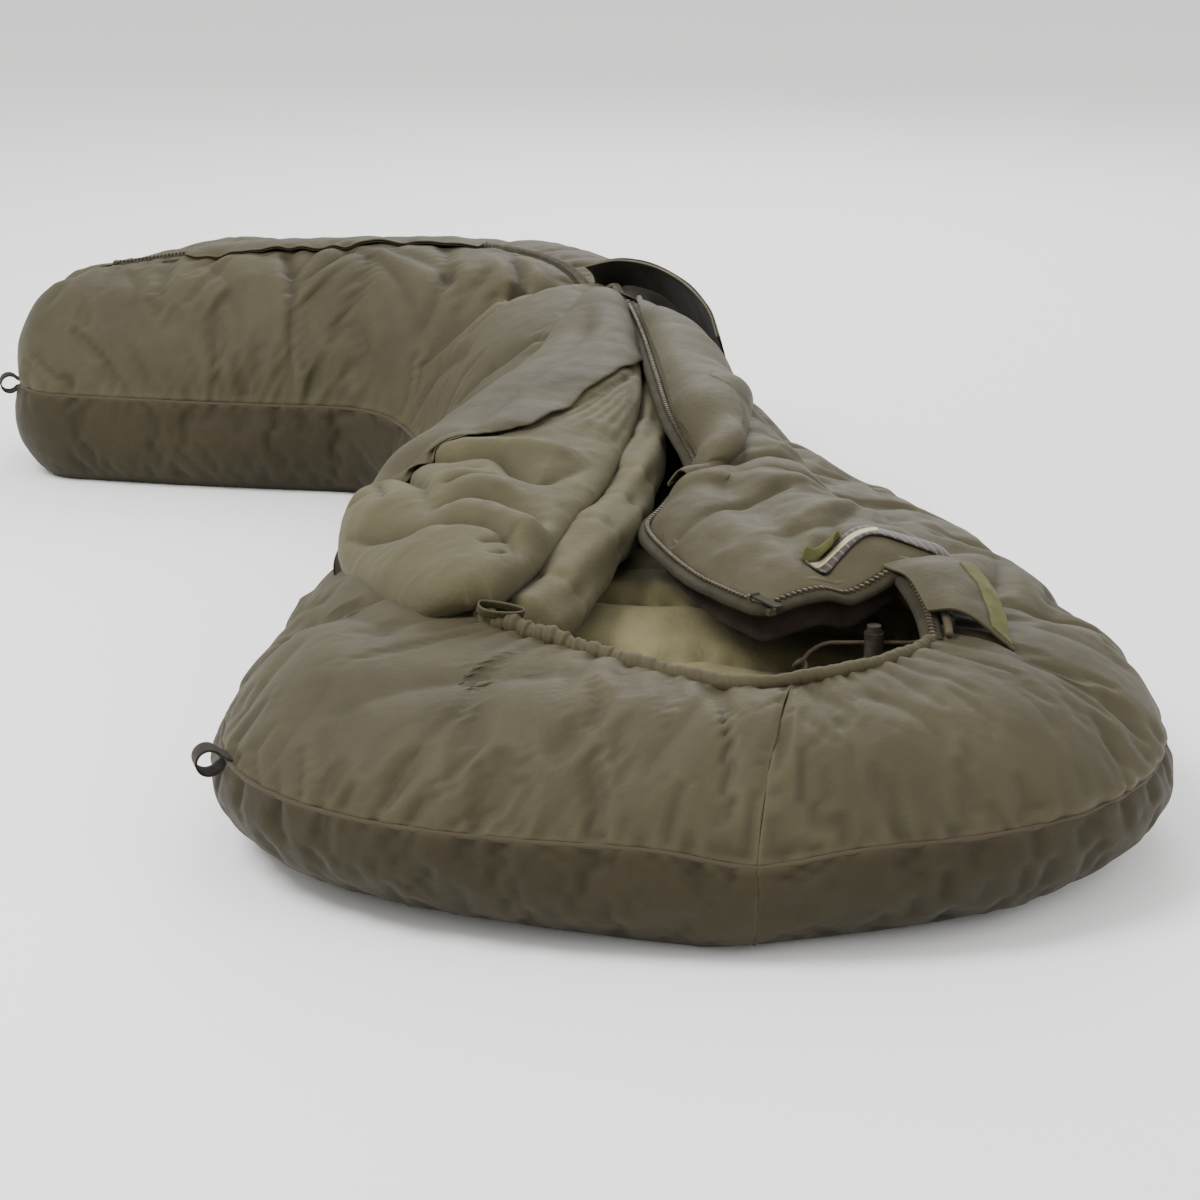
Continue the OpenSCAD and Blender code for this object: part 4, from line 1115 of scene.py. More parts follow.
def clefts(grid, lines):
    """Creases between puffed parts, fading at both ends: (depth, width, (t, v), (t, v), ...)."""
    t, v = unit_steps(grid)
    here = laid_flat(grid, t, v)
    h = np.zeros(t.shape)
    for deep, width, *points in lines:
        tv = through_points([(a, b, 0) for a, b in points], 180)
        p = laid_flat(grid, tv[:, 0], tv[:, 1])
        best = np.full(t.shape, 9.0)
        place = np.zeros(t.shape)
        for k in range(len(p)):
            off = np.linalg.norm(here - p[k], axis=-1)
            place = np.where(off < best, k / (len(p) - 1), place)
            best = np.minimum(best, off)
        fade = ease((place + 0.06) / 0.26) * ease((1.0 - place) / 0.34)
        h -= deep * fade * np.exp(-np.sqrt(best ** 2 + 0.0015 ** 2) / width)
    return h


def flap_skins(mid, seed, top_height, low_height, rolls, creases):
    """Fine grid of a flap, its normals, and how far its two faces stand off it."""
    g = upsample(upsample(upsample(mid, 0), 1), 0)
    n = normals_up(g)
    t, v = unit_steps(g)
    wide = np.linalg.norm(g[:, -1] - g[:, 0], axis=1)[:, None]
    length = arc_length(g[:, g.shape[1] // 2])[-1]
    edge = np.minimum(np.minimum(v, 1 - v) * wide, np.minimum(t, 1 - t) * length)
    full = np.sqrt(np.clip(1 - (1 - np.clip(edge / 0.028, 0, 1)) ** 2, 0, 1))
    top = full * (top_height + over(g, *rolls))
    top += full * (0.002 * smooth_noise(g, 0.045, seed) + fold_field(g, seed + 1, 0.045, 2.2, 70, 0.002))
    top += full * clefts(g, creases)
    top += full * fold_field(g, seed + 5, 0.020, 3.2, 25, 0.0016)
    top += full * 0.0007 * smooth_noise(g, 0.012, seed + 2)
    low = full * (low_height + 0.002 * smooth_noise(g, 0.05, seed + 3))
    return g, n, top, low


lining_rolls = [
    # The two rolls below the sash, the round bump, the belly, and the broad flat corner.
    (0.44, 0.66, 0.40, 0.22, 0.012, 0.020), (0.33, 0.55, 0.28, 0.38, 0.010, 0.020),
    (0.36, 0.86, 0.31, 0.78, 0.016, 0.032), (0.20, 0.46, 0.16, 0.20, 0.016, 0.030),
    (0.06, 0.40, 0.13, 0.82, 0.009, 0.050), (0.52, 0.16, 0.70, 0.06, 0.008, 0.022)]
lining_creases = [
    (0.020, 0.0080, (0.47, 0.84), (0.42, 0.62), (0.40, 0.43), (0.335, 0.29), (0.335, 0.19), (0.40, 0.05)),
    (0.018, 0.0075, (0.47, 0.90), (0.40, 0.76), (0.33, 0.65), (0.245, 0.61)),
    (0.022, 0.0085, (0.245, 0.62), (0.262, 0.54), (0.262, 0.46), (0.245, 0.31), (0.195, 0.13), (0.14, 0.03)),
    (0.018, 0.0080, (0.32, 0.99), (0.25, 0.84), (0.215, 0.67), (0.18, 0.50), (0.15, 0.31), (0.09, 0.15),
     (0.05, 0.04)),
    (0.010, 0.0050, (0.38, 0.84), (0.345, 0.80), (0.30, 0.76)),
    (0.008, 0.0045, (0.355, 0.93), (0.335, 0.82)),
    (0.009, 0.0050, (0.31, 0.58), (0.32, 0.45), (0.305, 0.34)), (0.007, 0.0045, (0.37, 0.60), (0.36, 0.44)),
    (0.007, 0.0040, (0.15, 0.20), (0.12, 0.30), (0.11, 0.42)), (0.006, 0.0040, (0.09, 0.22), (0.07, 0.32)),
    (0.009, 0.0040, (0.74, 0.05), (0.60, 0.22), (0.47, 0.36)),
    (0.008, 0.0035, (0.72, 0.05), (0.58, 0.17), (0.47, 0.27)),
    (0.008, 0.0035, (0.71, 0.04), (0.58, 0.12), (0.48, 0.18)),
    (0.007, 0.0035, (0.70, 0.03), (0.57, 0.08), (0.47, 0.11)),
    (0.006, 0.0030, (0.73, 0.06), (0.60, 0.26), (0.49, 0.40)),
    (0.006, 0.0030, (0.66, 0.02), (0.56, 0.04), (0.46, 0.05))]
g, n, top, low = flap_skins(flap_mid, seed=701, top_height=0.018, low_height=0.008, rolls=lining_rolls,
                            creases=lining_creases)
left_top = g + top[..., None] * n
left_low = g - low[..., None] * n
left_lining = sheet("left_front_lining", left_top, liner_mat)
left_shell = sheet("left_front_shell", left_low, shell_mat, offset=1.0)
fold_dir = unit(np.cross(hinge["left_front_fold"][1], (0, 0, 1)))
fold_dir = fold_dir if fold_dir[0] < 0 else -fold_dir
for piece, slot_name, names in ((left_lining, "liner_fabric", ("left_flap_liner", "left_flap_insulation")),
                                (left_shell, "shell_fabric", ("left_flap_shell",))):
    swing_blend(piece)
    attach(piece, None, slot_name, *names)

# The smooth sash of shell cloth along the free edge, folded back over the lining.
sash_cols = 26
sash_start = int(0.43 * len(left_top))
gi = np.linspace(sash_start, len(left_top) - 1, 260).astype(int)
reach = np.interp(np.linspace(0, 1, len(gi)), [0, 0.04, 0.09, 0.21, 0.32, 0.47, 0.55, 0.65, 1],
                  [0.10, 0.42, 0.63, 0.69, 0.72, 0.84, 0.93, 1.0, 1.0])
top_steps = np.linspace(0, 1, left_top.shape[1])
sash = np.empty((len(gi), sash_cols, 3))
for row_i, (src, r) in enumerate(zip(gi, reach)):
    across_at = 1 - np.linspace(0, 1, sash_cols) * r
    for axis in range(3):
        sash[row_i, :, axis] = np.interp(across_at, top_steps, left_top[src, :, axis])
sn = normals_up(relax(sash, 14))
st, sv = unit_steps(sash)
lift = 0.0045 + 0.012 * np.sin(math.pi * (sv * 0.9 + 0.1)) ** 0.7 * ease((st + 0.03) / 0.15)
lift = lift + 0.006 * ease((st - 0.72) / 0.2) * np.sin(math.pi * np.clip(sv * 1.1, 0, 1))
valley = (sv - 0.62 + 0.12 * st) / 0.09
lift = lift - 0.007 * np.exp(-valley ** 2) * ease(st / 0.15) * ease((0.85 - st) / 0.15)
lift = lift - 0.006 * np.exp(-((st - 0.26) / 0.09) ** 2 - ((sv - 0.84) / 0.13) ** 2)
lift = lift + 0.003 * smooth_noise(sash, 0.06, 731)
lift = lift + fold_field(sash, 735, 0.05, 3.0, 62, 0.004) * np.sin(math.pi * sv)
sash = upsample(upsample(sash + lift[..., None] * sn, 1), 0)
sash_piece = sheet("left_front_sash", sash, shell_mat, SKIN, offset=1.0)
attach(sash_piece, "left_front", "shell_fabric")

# The left half of the zip runs along the free edge, below the sash.
left_zip = smooth_path(resample(left_top[int(0.06 * len(left_top)):, -1], 320), 8)
left_zip[:, 2] -= 0.003
left_out = beside(left_zip)
left_out = left_out if left_out[160, 0] < 0 else -left_out

# ---------------------------------------------------------------- right front flap and its zip


def piece_tree(*pieces):
    """Ray casting tree of some finished pieces."""
    verts, faces = [], []
    for piece in pieces:
        base = len(verts)
        verts += [v.co[:] for v in piece.data.vertices]
        faces += [[base + i for i in p.vertices] for p in piece.data.polygons]
    return BVHTree.FromPolygons(verts, faces)


def drop_on(tree, path, lift):
    """Sets the height of points to the surface below them plus a lift."""
    out = path.copy()
    for i in range(len(out)):
        height = top_at(tree, out[i, 0], out[i, 1])
        if height is not None:
            out[i, 2] = height + lift
    return out


def coons(left, right, first, last):
    """Patch between four curves; rows run from first to last."""
    n, m = len(left), len(first)
    t = np.linspace(0, 1, n)[:, None, None]
    s = np.linspace(0, 1, m)[None, :, None]
    ruled = (1 - s) * left[:, None] + s * right[:, None] + (1 - t) * first[None] + t * last[None]
    ends = (1 - t) * ((1 - s) * first[0] + s * first[-1]) + t * ((1 - s) * last[0] + s * last[-1])
    return ruled - ends


zip_edge = through_points([(0.034, 0.232, 0.270), (0.048, 0.11, 0.262), (0.060, -0.03, 0.250),
                           (0.071, -0.13, 0.234), (0.089, -0.22, 0.219), (0.091, -0.262, 0.212),
                           (0.064, -0.33, 0.197),
                           (0.046, -0.375, 0.191), (0.058, -0.44, 0.190), (0.085, -0.52, 0.190),
                           (0.112, -0.570, 0.191), (0.136, -0.598, 0.189)], 200, 2)
low_edge = through_points([(0.136, -0.598, 0.189), (0.158, -0.592, 0.196), (0.182, -0.583, 0.199),
                           (0.203, -0.573, 0.191), (0.222, -0.565, 0.197), (0.242, -0.553, 0.205),
                           (0.262, -0.545, 0.206), (0.290, -0.528, 0.202), (0.318, -0.505, 0.196)], 60, 1)
far_tree = piece_tree(far_top)
right_side = through_points([(0.088, 0.185, 0.25), (0.138, 0.06, 0.23), (0.182, -0.12, 0.21),
                             (0.226, -0.30, 0.20), (0.276, -0.42, 0.19), (0.318, -0.505, 0.196)], 200, 2)
right_side = drop_on(far_tree, right_side, -0.004)
low_edge[-12:, 2] += (right_side[-1, 2] - low_edge[-1, 2]) * np.linspace(0, 1, 12) ** 1.5
top_edge = through_points([zip_edge[0], 0.5 * (zip_edge[0] + right_side[0]) + np.array([0, 0, 0.004]),
                           right_side[0]], 60)
right_mid = coons(zip_edge, right_side, top_edge, low_edge)
t_r, s_r = unit_steps(right_mid)
right_mid[..., 2] += 0.017 * np.sin(math.pi * s_r ** 0.8) * ease(t_r / 0.15) * ease((1.02 - t_r) / 0.12)


def right_skin_heights(seed):
    """Fine grid of the right flap, its normals, and how far its two faces stand off it."""
    g = upsample(upsample(right_mid, 0), 1)
    n = normals_up(g)
    t, s = unit_steps(g)
    wide = np.linalg.norm(g[:, -1] - g[:, 0], axis=1)[:, None]
    edge = np.minimum(s * wide, np.minimum(t, 1 - t) * 0.8)
    full = np.sqrt(np.clip(1 - (1 - np.clip(edge / 0.024, 0, 1)) ** 2, 0, 1))
    h = 0.003 * smooth_noise(g, 0.05, seed) + fold_field(g, seed + 1, 0.055, 2.4, 128, 0.006)
    h += fold_field(g, seed + 3, 0.030, 2.0, 75, 0.0025) + 0.0007 * smooth_noise(g, 0.012, seed + 2)
    # Folds that run from the bends of the zip into the panel.
    h += over(g, (0.50, 0.02, 0.40, 0.55, 0.010, 0.020), (0.62, 0.02, 0.60, 0.75, -0.010, 0.012),
              (0.66, 0.05, 0.72, 0.70, 0.009, 0.018), (0.80, 0.03, 0.74, 0.60, -0.007, 0.009),
              (0.90, 0.12, 0.84, 0.75, 0.007, 0.016), (0.96, 0.35, 0.80, 0.95, -0.006, 0.010))
    keep = ease((1 - s) * wide / 0.03)
    top = full * (0.006 + h * keep) * (0.35 + 0.65 * keep)
    low = full * (0.010 * keep + 0.002 * smooth_noise(g, 0.04, seed + 5) * keep)
    return g, n, top, low


g, n, top, low = right_skin_heights(801)
right_top = g + top[..., None] * n
right_low = g - low[..., None] * n
right_shell = sheet("right_front_shell", right_top, shell_mat)
right_lining = sheet("right_front_lining", right_low, liner_mat, offset=1.0)
right_dir = unit(np.cross(hinge["right_front_fold"][1], (0, 0, 1)))
right_dir = right_dir if right_dir[0] < 0 else -right_dir
for piece, slot_name, names in ((right_shell, "shell_fabric", ("right_flap_shell", "right_flap_insulation")),
                                (right_lining, "liner_fabric", ("right_flap_liner",))):
    swing_blend(piece)
    attach(piece, None, slot_name, *names)


def zip_tape(name, path, towards, drop, width, seed=5):
    """Narrow tape beside a zip line; it turns down and under at its free side."""
    v = np.linspace(0, 1, 9)
    g = np.stack([path + towards * (width * math.sin(min(1.0, x * 1.2) * math.pi / 2))
                  - UP * (drop * x ** 2) for x in v], axis=1)
    g[..., 2] += 0.0008 * smooth_noise(g, 0.02, seed) * v[None]
    return sheet(name, g, zip_tape_mat, offset=0.0)


def zip_teeth(name, path, across, pitch, size, bed):
    """A row of separate teeth: tapered blocks with a raised nub, one for each step along the path."""
    total = arc_length(path)[-1]
    count = int(total / pitch)
    s = np.linspace(pitch / 2, total - pitch / 2, count)
    at = sample(path, s)
    t = unit(sample(np.gradient(path, axis=0), s))
    side = unit(sample(across, s))
    up = unit(np.cross(t, side))
    up *= np.sign(up[:, 2:3])
    a, b, c = size
    verts, faces = [], []
    corners = ((-1, -1), (1, -1), (1, 1), (-1, 1))
    shape = [(x * k * a, y * k * b, z * c) for k, z in ((0.5, 0), (0.5, 0.7), (0.3, 1)) for x, y in corners]
    quads = [(3, 2, 1, 0), (8, 9, 10, 11)]
    quads += [(r + i, r + (i + 1) % 4, r + 4 + (i + 1) % 4, r + 4 + i) for r in (0, 4) for i in range(4)]
    for i in range(count):
        base = len(verts)
        for dx, dy, dz in shape:
            verts.append(at[i] + t[i] * dx + side[i] * dy + up[i] * (dz - c / 2 + bed))
        faces += [tuple(base + k for k in q) for q in quads]
    return fix_normals(new_mesh(name, verts, faces, teeth_mat, smooth=False))


zip_path = np.concatenate([zip_edge, low_edge[1:38]])
zip_path = smooth_path(resample(zip_path, 420), 3)
zip_end = through_points([zip_path[-1], (0.262, -0.575, 0.200), (0.270, -0.612, 0.190),
                          (0.272, -0.655, 0.178)], 60)
zip_path = smooth_path(np.concatenate([zip_path, zip_end[1:]]), 3)
zip_path[:, 2] += 0.0015
zip_out = beside(zip_path)
zip_out = zip_out if zip_out[100, 0] < 0 else -zip_out
right_tape = zip_tape("right_zip_tape_sewn", zip_path - zip_out * 0.004, zip_out, drop=0.008, width=0.016)
attach(right_tape, "right_front", "zip_tape", "right_zip_tape")
tooth_pitch, tooth_size, tooth_bed = 0.0050, (0.0026, 0.0052, 0.0036), 0.0012
right_teeth = zip_teeth("right_zip_teeth_row", zip_path + zip_out * 0.0035, zip_out, tooth_pitch, tooth_size,
                        tooth_bed)
attach(right_teeth, "right_front", "zip_plastic", "right_zip_teeth")
# A rolled edge of shell cloth behind the teeth.
roll_path = zip_path - zip_out * 0.0095 + np.array([0, 0, 0.0035])
right_roll = tube("right_zip_rolled_edge", resample(roll_path, 300), 0.0034, shell_mat, sides=10,
                  profile=lambda i, a: 1 + 0.12 * np.sin(i * 0.55 + a))
attach(right_roll, "right_front", "shell_fabric")

# Dark facing that hangs below the zip at the neck: a dark guard tape whose hanging area is partly painted shade
# below the zip.
gi = np.arange(int(0.60 * len(zip_path)), int(0.93 * len(zip_path)))
v = np.linspace(0, 1, 10)
face_in = unit(np.array([0.12, -0.45, 0]) - zip_path[gi] * np.array([1, 1, 0]))
depth = np.sin(np.linspace(0.10, math.pi - 0.2, len(gi)))[:, None] ** 0.8
guard = np.stack([zip_path[gi] + 0.004 * (zip_out[gi] * (1 - x) + face_in * (math.sin(math.pi * x) - x))
                  - UP * (0.003 + 0.030 * x * depth) for x in v], axis=1)
guard = guard + 0.003 * smooth_noise(guard, 0.03, 841)[..., None] * np.array([1, 1, 0])
guard_piece = sheet("zip_guard_facing", guard, dark_tape_mat, offset=0.0)
attach(guard_piece, "right_front", "dark_tape", "zip_guard_tape")

left_tape = zip_tape("left_zip_tape_sewn", left_zip - left_out * 0.008, left_out, drop=0.006, width=0.013,
                     seed=9)
attach(left_tape, "left_front", "zip_tape", "left_zip_tape")
left_teeth = zip_teeth("left_zip_teeth_row", left_zip + left_out * 0.0035 - UP * 0.003, left_out,
                       tooth_pitch, tooth_size, tooth_bed)
attach(left_teeth, "left_front", "zip_plastic", "left_zip_teeth")

# ---------------------------------------------------------------- storm flap folded back on the right flap

storm_end = 0.66
storm_rows = np.linspace(0.0, storm_end, 150)
reach_t = np.interp(storm_rows, [0, 0.12, 0.3, 0.45, 0.56, storm_end], [1.10, 0.98, 0.86, 0.66, 0.42, 0.14])


def on_grid(grid, t, s):
    """Points of a grid at fractional row t and column s."""
    r = np.clip(t, 0, 1) * (grid.shape[0] - 1)
    c = np.clip(s, 0, 1) * (grid.shape[1] - 1)
    r0, c0 = np.floor(r).astype(int), np.floor(c).astype(int)
    r1, c1 = np.minimum(r0 + 1, grid.shape[0] - 1), np.minimum(c0 + 1, grid.shape[1] - 1)
    fr, fc = (r - r0)[..., None], (c - c0)[..., None]
    return ((grid[r0, c0] * (1 - fr) + grid[r1, c0] * fr) * (1 - fc)
            + (grid[r0, c1] * (1 - fr) + grid[r1, c1] * fr) * fc)


sv = np.linspace(0, 1, 34)
tt, ss = np.meshgrid(storm_rows, sv, indexing="ij")
storm = on_grid(right_top, tt, 0.05 + ss * (reach_t[:, None] - 0.05))
stn = normals_up(relax(storm, 10))
rise = 0.0050 + 0.010 * np.sin(math.pi * ss) * ease(tt / 0.1) * ease((storm_end - tt) / 0.1)
rise = rise + 0.004 * ss ** 3 - 0.022 * ss ** 8 * ease((tt - 0.16) / 0.12)
rise = rise + fold_field(storm, 871, 0.05, 3.0, 100, 0.004) * np.sin(math.pi * ss)
storm = storm + rise[..., None] * stn
storm = upsample(upsample(storm, 1), 0)
storm_face = sheet("storm_flap_face", storm, shell_mat, 0.0016, offset=1.0)
swing_blend(storm_face)
attach(storm_face, None, "shell_fabric", "storm_flap")

# Its upper end stands up above the end of the opening, and shows its inner side: dark cloth, darkened further as
# painted shade.
crest = through_points([(-0.018, 0.376, 0.283), (0.020, 0.358, 0.294), (0.060, 0.314, 0.296),
                        (0.094, 0.256, 0.288), (0.118, 0.190, 0.272), (0.126, 0.130, 0.254)], 110, 2)
foot_line = through_points([(-0.006, 0.412, 0.256), (0.032, 0.398, 0.250), (0.076, 0.355, 0.236),
                            (0.112, 0.292, 0.214), (0.134, 0.215, 0.192), (0.140, 0.130, 0.176)], 110, 2)
front_line = through_points([(0.004, 0.330, 0.266), (0.022, 0.300, 0.270), (0.036, 0.266, 0.272),
                             (0.052, 0.232, 0.268), (0.078, 0.190, 0.262), (0.104, 0.128, 0.250)], 110, 2)
v = np.linspace(0, 1, 22)
bow_out = 0.010
hood = np.stack([crest * (1 - x) + foot_line * x + np.array([0.35, 0.6, 0]) * bow_out * math.sin(math.pi * x)
                 for x in v], axis=1)
hood = hood + 0.002 * smooth_noise(hood, 0.03, 881)[..., None] * np.array([0, 1, 0.3])
inside = sheet("storm_flap_inner_face", hood, dark_cloth_and_shade_mat, offset=0.0)
behind = np.array([0.0015, 0.0025, 0.0012])
outside = sheet("storm_flap_upper_end", hood + behind, shell_mat, offset=0.0)
hem_v = 0.2 * np.linspace(0, 1, 12)[:4]
cap = np.stack([crest * (1 - x) + front_line * x + UP * 0.006 * math.sin(math.pi * x)
                for x in hem_v], axis=1)
lip = sheet("storm_flap_turned_hem", cap, shell_mat, SKIN, offset=0.0)
# Dark sheet of painted shadow laid over the hollow between the standing end and the folded flap.
hollow_back = resample(foot_line, 90)
hollow_front = resample(storm[4, ::2], 90)
v = np.linspace(0, 1, 24)
hollow = np.stack([drop_on(far_tree, hollow_back * (1 - x) + hollow_front * x, 0.0035) for x in v], axis=1)
hollow_shadow_sheet = sheet("storm_flap_hollow_painted_shadow", relax(hollow, 6), dark_cloth_and_shade_mat, FACING, offset=0.0)
for piece in (inside, outside, lip, hollow_shadow_sheet):
    attach(piece, "bag", "shell_fabric")

# ---------------------------------------------------------------- striped ribbon, neck tab and hook strip

flap_tree = piece_tree(right_shell, far_top)
ribbon_line = through_points([(0.176, -0.556, 0.21), (0.205, -0.530, 0.21), (0.228, -0.515, 0.21),
                              (0.252, -0.515, 0.21), (0.282, -0.520, 0.21), (0.316, -0.520, 0.21)], 80, 2)
ribbon_rows = []
for x in np.linspace(-1, 1, 7):
    ribbon_rows.append(drop_on(flap_tree, ribbon_line + beside(ribbon_line) * 0.0075 * x, 0.0022))
ribbon_grid = np.stack(ribbon_rows, axis=1)
ribbon_grid[..., 2] = smooth_path(ribbon_grid[..., 2], 4) + 0.0012


def ribbon_material():
    """Dark ribbon with slanting pale stripes woven into its first part."""
    m = Nodes("striped ribbon")
    mapping = m.add("ShaderNodeMapping")
    mapping.inputs["Rotation"].default_value = (0, 0, math.radians(58))
    m.link(m.coord.outputs["Object"], mapping.inputs["Vector"])
    stripe = m.wave(15.5, "X", mapping.outputs["Vector"])
    band = m.ramp(stripe, grey(0), grey(1), 0.80, 0.86)
    split = m.add("ShaderNodeSeparateXYZ")
    m.link(m.coord.outputs["Object"], split.inputs[0])
    first = m.maths("LESS_THAN", split.outputs["X"], 0.236)
    dark = m.ramp(m.noise(260.0, 3.0, 0.6), srgb(36, 30, 30), srgb(60, 52, 50), 0.3, 0.7)
    colour = m.mix(m.maths("MULTIPLY", band, first), dark, srgb(178, 168, 128))
    thin = m.ramp(m.wave(46.0, "Y", mapping.outputs["Vector"]), grey(0), grey(1), 0.90, 0.97)
    colour = m.mix(m.maths("MULTIPLY", thin, 0.35), colour, srgb(150, 142, 112))
    ribs = m.wave(800.0, "X")
    return m.finish(colour, 0.7, m.bump(ribs, 0.4, 0.0004), Sheen_Weight=0.2)


ribbon = sheet("striped_ribbon_sewn", ribbon_grid, ribbon_material(), offset=1.0)
attach(ribbon, "right_front", "ribbon", "woven_ribbon")

bit = through_points([(0.172, -0.548, 0), (0.186, -0.534, 0), (0.200, -0.526, 0)], 24)
bit = drop_on(flap_tree, bit, 0.004)
bit_grid = np.stack([bit + np.array([0.004 * x, 0.008 * x, 0.010 * (1 - x * x)])
                     for x in np.linspace(-1, 1, 11)], axis=1)
ribbon_bit = sheet("ribbon_folded_end", bit_grid, hook_mat, offset=0.0)
attach(ribbon_bit, "right_front", "ribbon")

tab_upper = through_points([(0.236, -0.552, 0.212), (0.262, -0.546, 0.216), (0.292, -0.536, 0.212),
                            (0.318, -0.528, 0.203)], 40)
tab_lower = through_points([(0.266, -0.628, 0.195), (0.288, -0.640, 0.197), (0.312, -0.650, 0.186),
                            (0.334, -0.656, 0.170)], 40)
tab_left = through_points([tab_upper[0], (0.254, -0.580, 0.209), tab_lower[0]], 50)
tab_right = through_points([tab_upper[-1], (0.326, -0.570, 0.197), (0.332, -0.615, 0.184),
                            tab_lower[-1]], 50)
tab_grid = coons(tab_left, tab_right, tab_upper, tab_lower)
tn = normals_up(tab_grid)
w, u = unit_steps(tab_grid)
tab_h = 0.005 * np.sin(math.pi * u) * np.sin(math.pi * w * 0.8) + 0.0022 * smooth_noise(tab_grid, 0.022, 901)
tab_grid = upsample(upsample(tab_grid + tab_h[..., None] * tn, 0), 1)
tab_piece = sheet("neck_tab_cloth", tab_grid, shell_mat, 0.0030, offset=-1.0)
attach(tab_piece, None, "shell_fabric", "neck_tab")
rows_n, cols_n = tab_grid.shape[:2]
strip = tab_grid[int(0.16 * rows_n):int(0.97 * rows_n), int(0.70 * cols_n):int(0.985 * cols_n)]
sn2 = normals_up(strip)
hook_height = (0.0016 + 0.0004 * smooth_noise(strip, 0.004, 911))[..., None]
hook_piece = sheet("hook_strip", strip + hook_height * sn2, hook_mat, 0.0018, offset=-1.0)
attach(hook_piece, None, "hook_fabric", "hook_patch")
for piece in (tab_piece, hook_piece):
    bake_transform(piece)

# ---------------------------------------------------------------- closed zip of trunk and legs

closed_n = int(np.argmin(np.abs(zip_line[:, 0] - zip_end_x)))
top_tree = piece_tree(near_top, far_top)
closed_path = resample(zip_line[2:closed_n], 420)
closed_path[:, 2] += 0.001
closed_side = beside(closed_path)
rib = np.linspace(-1, 1, 9)
closed_grid = np.stack([closed_path + closed_side * 0.017 * x - UP * (0.004 * x * x + 0.0015)
                        for x in rib], axis=1)
closed_grid[..., 2] += 0.0008 * smooth_noise(closed_grid, 0.02, 951)
closed_tape = sheet("closed_zip_tape", closed_grid, zip_tape_mat, offset=0.0)
closed_teeth = zip_teeth("closed_zip_teeth", closed_path + UP * 0.001, closed_side, pitch=0.0048,
                         size=(0.0025, 0.0064, 0.0036), bed=0.0010)
for piece, names, slot_name in ((closed_tape, ("trunk_zip_tape", "leg_zip_tape"), "zip_tape"),
                                (closed_teeth, ("trunk_zip_teeth", "leg_zip_teeth"), "zip_plastic")):
    across_legs(piece)
    attach(piece, None, slot_name, *names)

# The stop that closes the zip's foot end: a small moulded block clamped over both tapes.
stop_low, stop_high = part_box("zip_bottom_stop")
stop_size = 0.5 * np.array(stop_high - stop_low)
stop_at = closed_path[-1] + np.array([-0.003, 0, 0.001])
stop_corners = [stop_at + stop_size * np.array([x, y, z]) for z in (-1, 1) for y in (-1, 1) for x in (-1, 1)]
stop_faces = [(0, 2, 3, 1), (4, 5, 7, 6), (0, 1, 5, 4), (2, 6, 7, 3), (0, 4, 6, 2), (1, 3, 7, 5)]
stop = fix_normals(new_mesh("zip_foot_stop", stop_corners, stop_faces, teeth_mat, smooth=False))
round_off = stop.modifiers.new("bevel", "BEVEL")
round_off.width = 0.0009
round_off.segments = 3
stop = apply_modifiers(stop)
attach(stop, "legs", "zip_plastic", "zip_bottom_stop")

cover_low, cover_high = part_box("leg_storm_flap")
near = closed_path[(closed_path[:, 0] < cover_high.x + 0.02) & (closed_path[:, 0] > cover_low.x)]
near = resample(near, 200)
near_side = beside(near)
near_side = near_side if near_side[100, 1] < 0 else -near_side
s_c = np.linspace(0, 1, 200)
cols_c = np.linspace(-0.026, 0.034, 20)
wide_c = np.interp(s_c, [0, 0.06, 0.94, 1], [0.55, 1, 1, 0.6])
cover_grid = np.stack([near + near_side * (c * wide_c)[:, None] for c in cols_c], axis=1)
for k in range(cover_grid.shape[1]):
    cover_grid[:, k] = drop_on(top_tree, cover_grid[:, k], 0.0)
low_z = smooth_path(cover_grid[:, :, 2], 12)
v = np.linspace(0, 1, 20)[None]
to_end = np.minimum(s_c, 1 - s_c)
wave = 0.55 + 0.45 * np.sin(s_c * 16 + 0.7) * np.sin(s_c * 5 + 1.2)
lift = 0.0018 + 0.0065 * v ** 1.4 * (wave * ease(to_end / 0.12))[:, None]
ridge_z = near[:, 2][:, None] + 0.0045
over_zip = (1 - (2 * v - 0.9) ** 2) * ease(to_end / 0.10)[:, None]
cover_grid[..., 2] = np.maximum(low_z, low_z + (ridge_z - low_z) * over_zip) + lift
cover_grid = upsample(upsample(cover_grid, 1), 0)
cn = normals_up(cover_grid)
cover_grid = cover_grid + (0.0010 * smooth_noise(cover_grid, 0.02, 961))[..., None] * cn
cover = sheet("leg_zip_cover_cloth", cover_grid, shell_mat, 0.0016, offset=1.0)
# A dark sheet under the cover: painted shade in the slit beneath its edge.
cover_shade_sheet = sheet("leg_zip_cover_painted_shade", cover_grid[:, 8:] - 0.0018 * cn[:, 8:], dark_cloth_and_shade_mat, FACING,
                    offset=0.0)
for piece in (cover, cover_shade_sheet):
    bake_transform(piece)
    attach(piece, None, "shell_fabric")
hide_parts("leg_storm_flap")

# ---------------------------------------------------------------- webbing loops, drawcord and its end loop


def mount(name):
    return [m for m in frame["record"]["mounts"] if m["name"] == name][0]


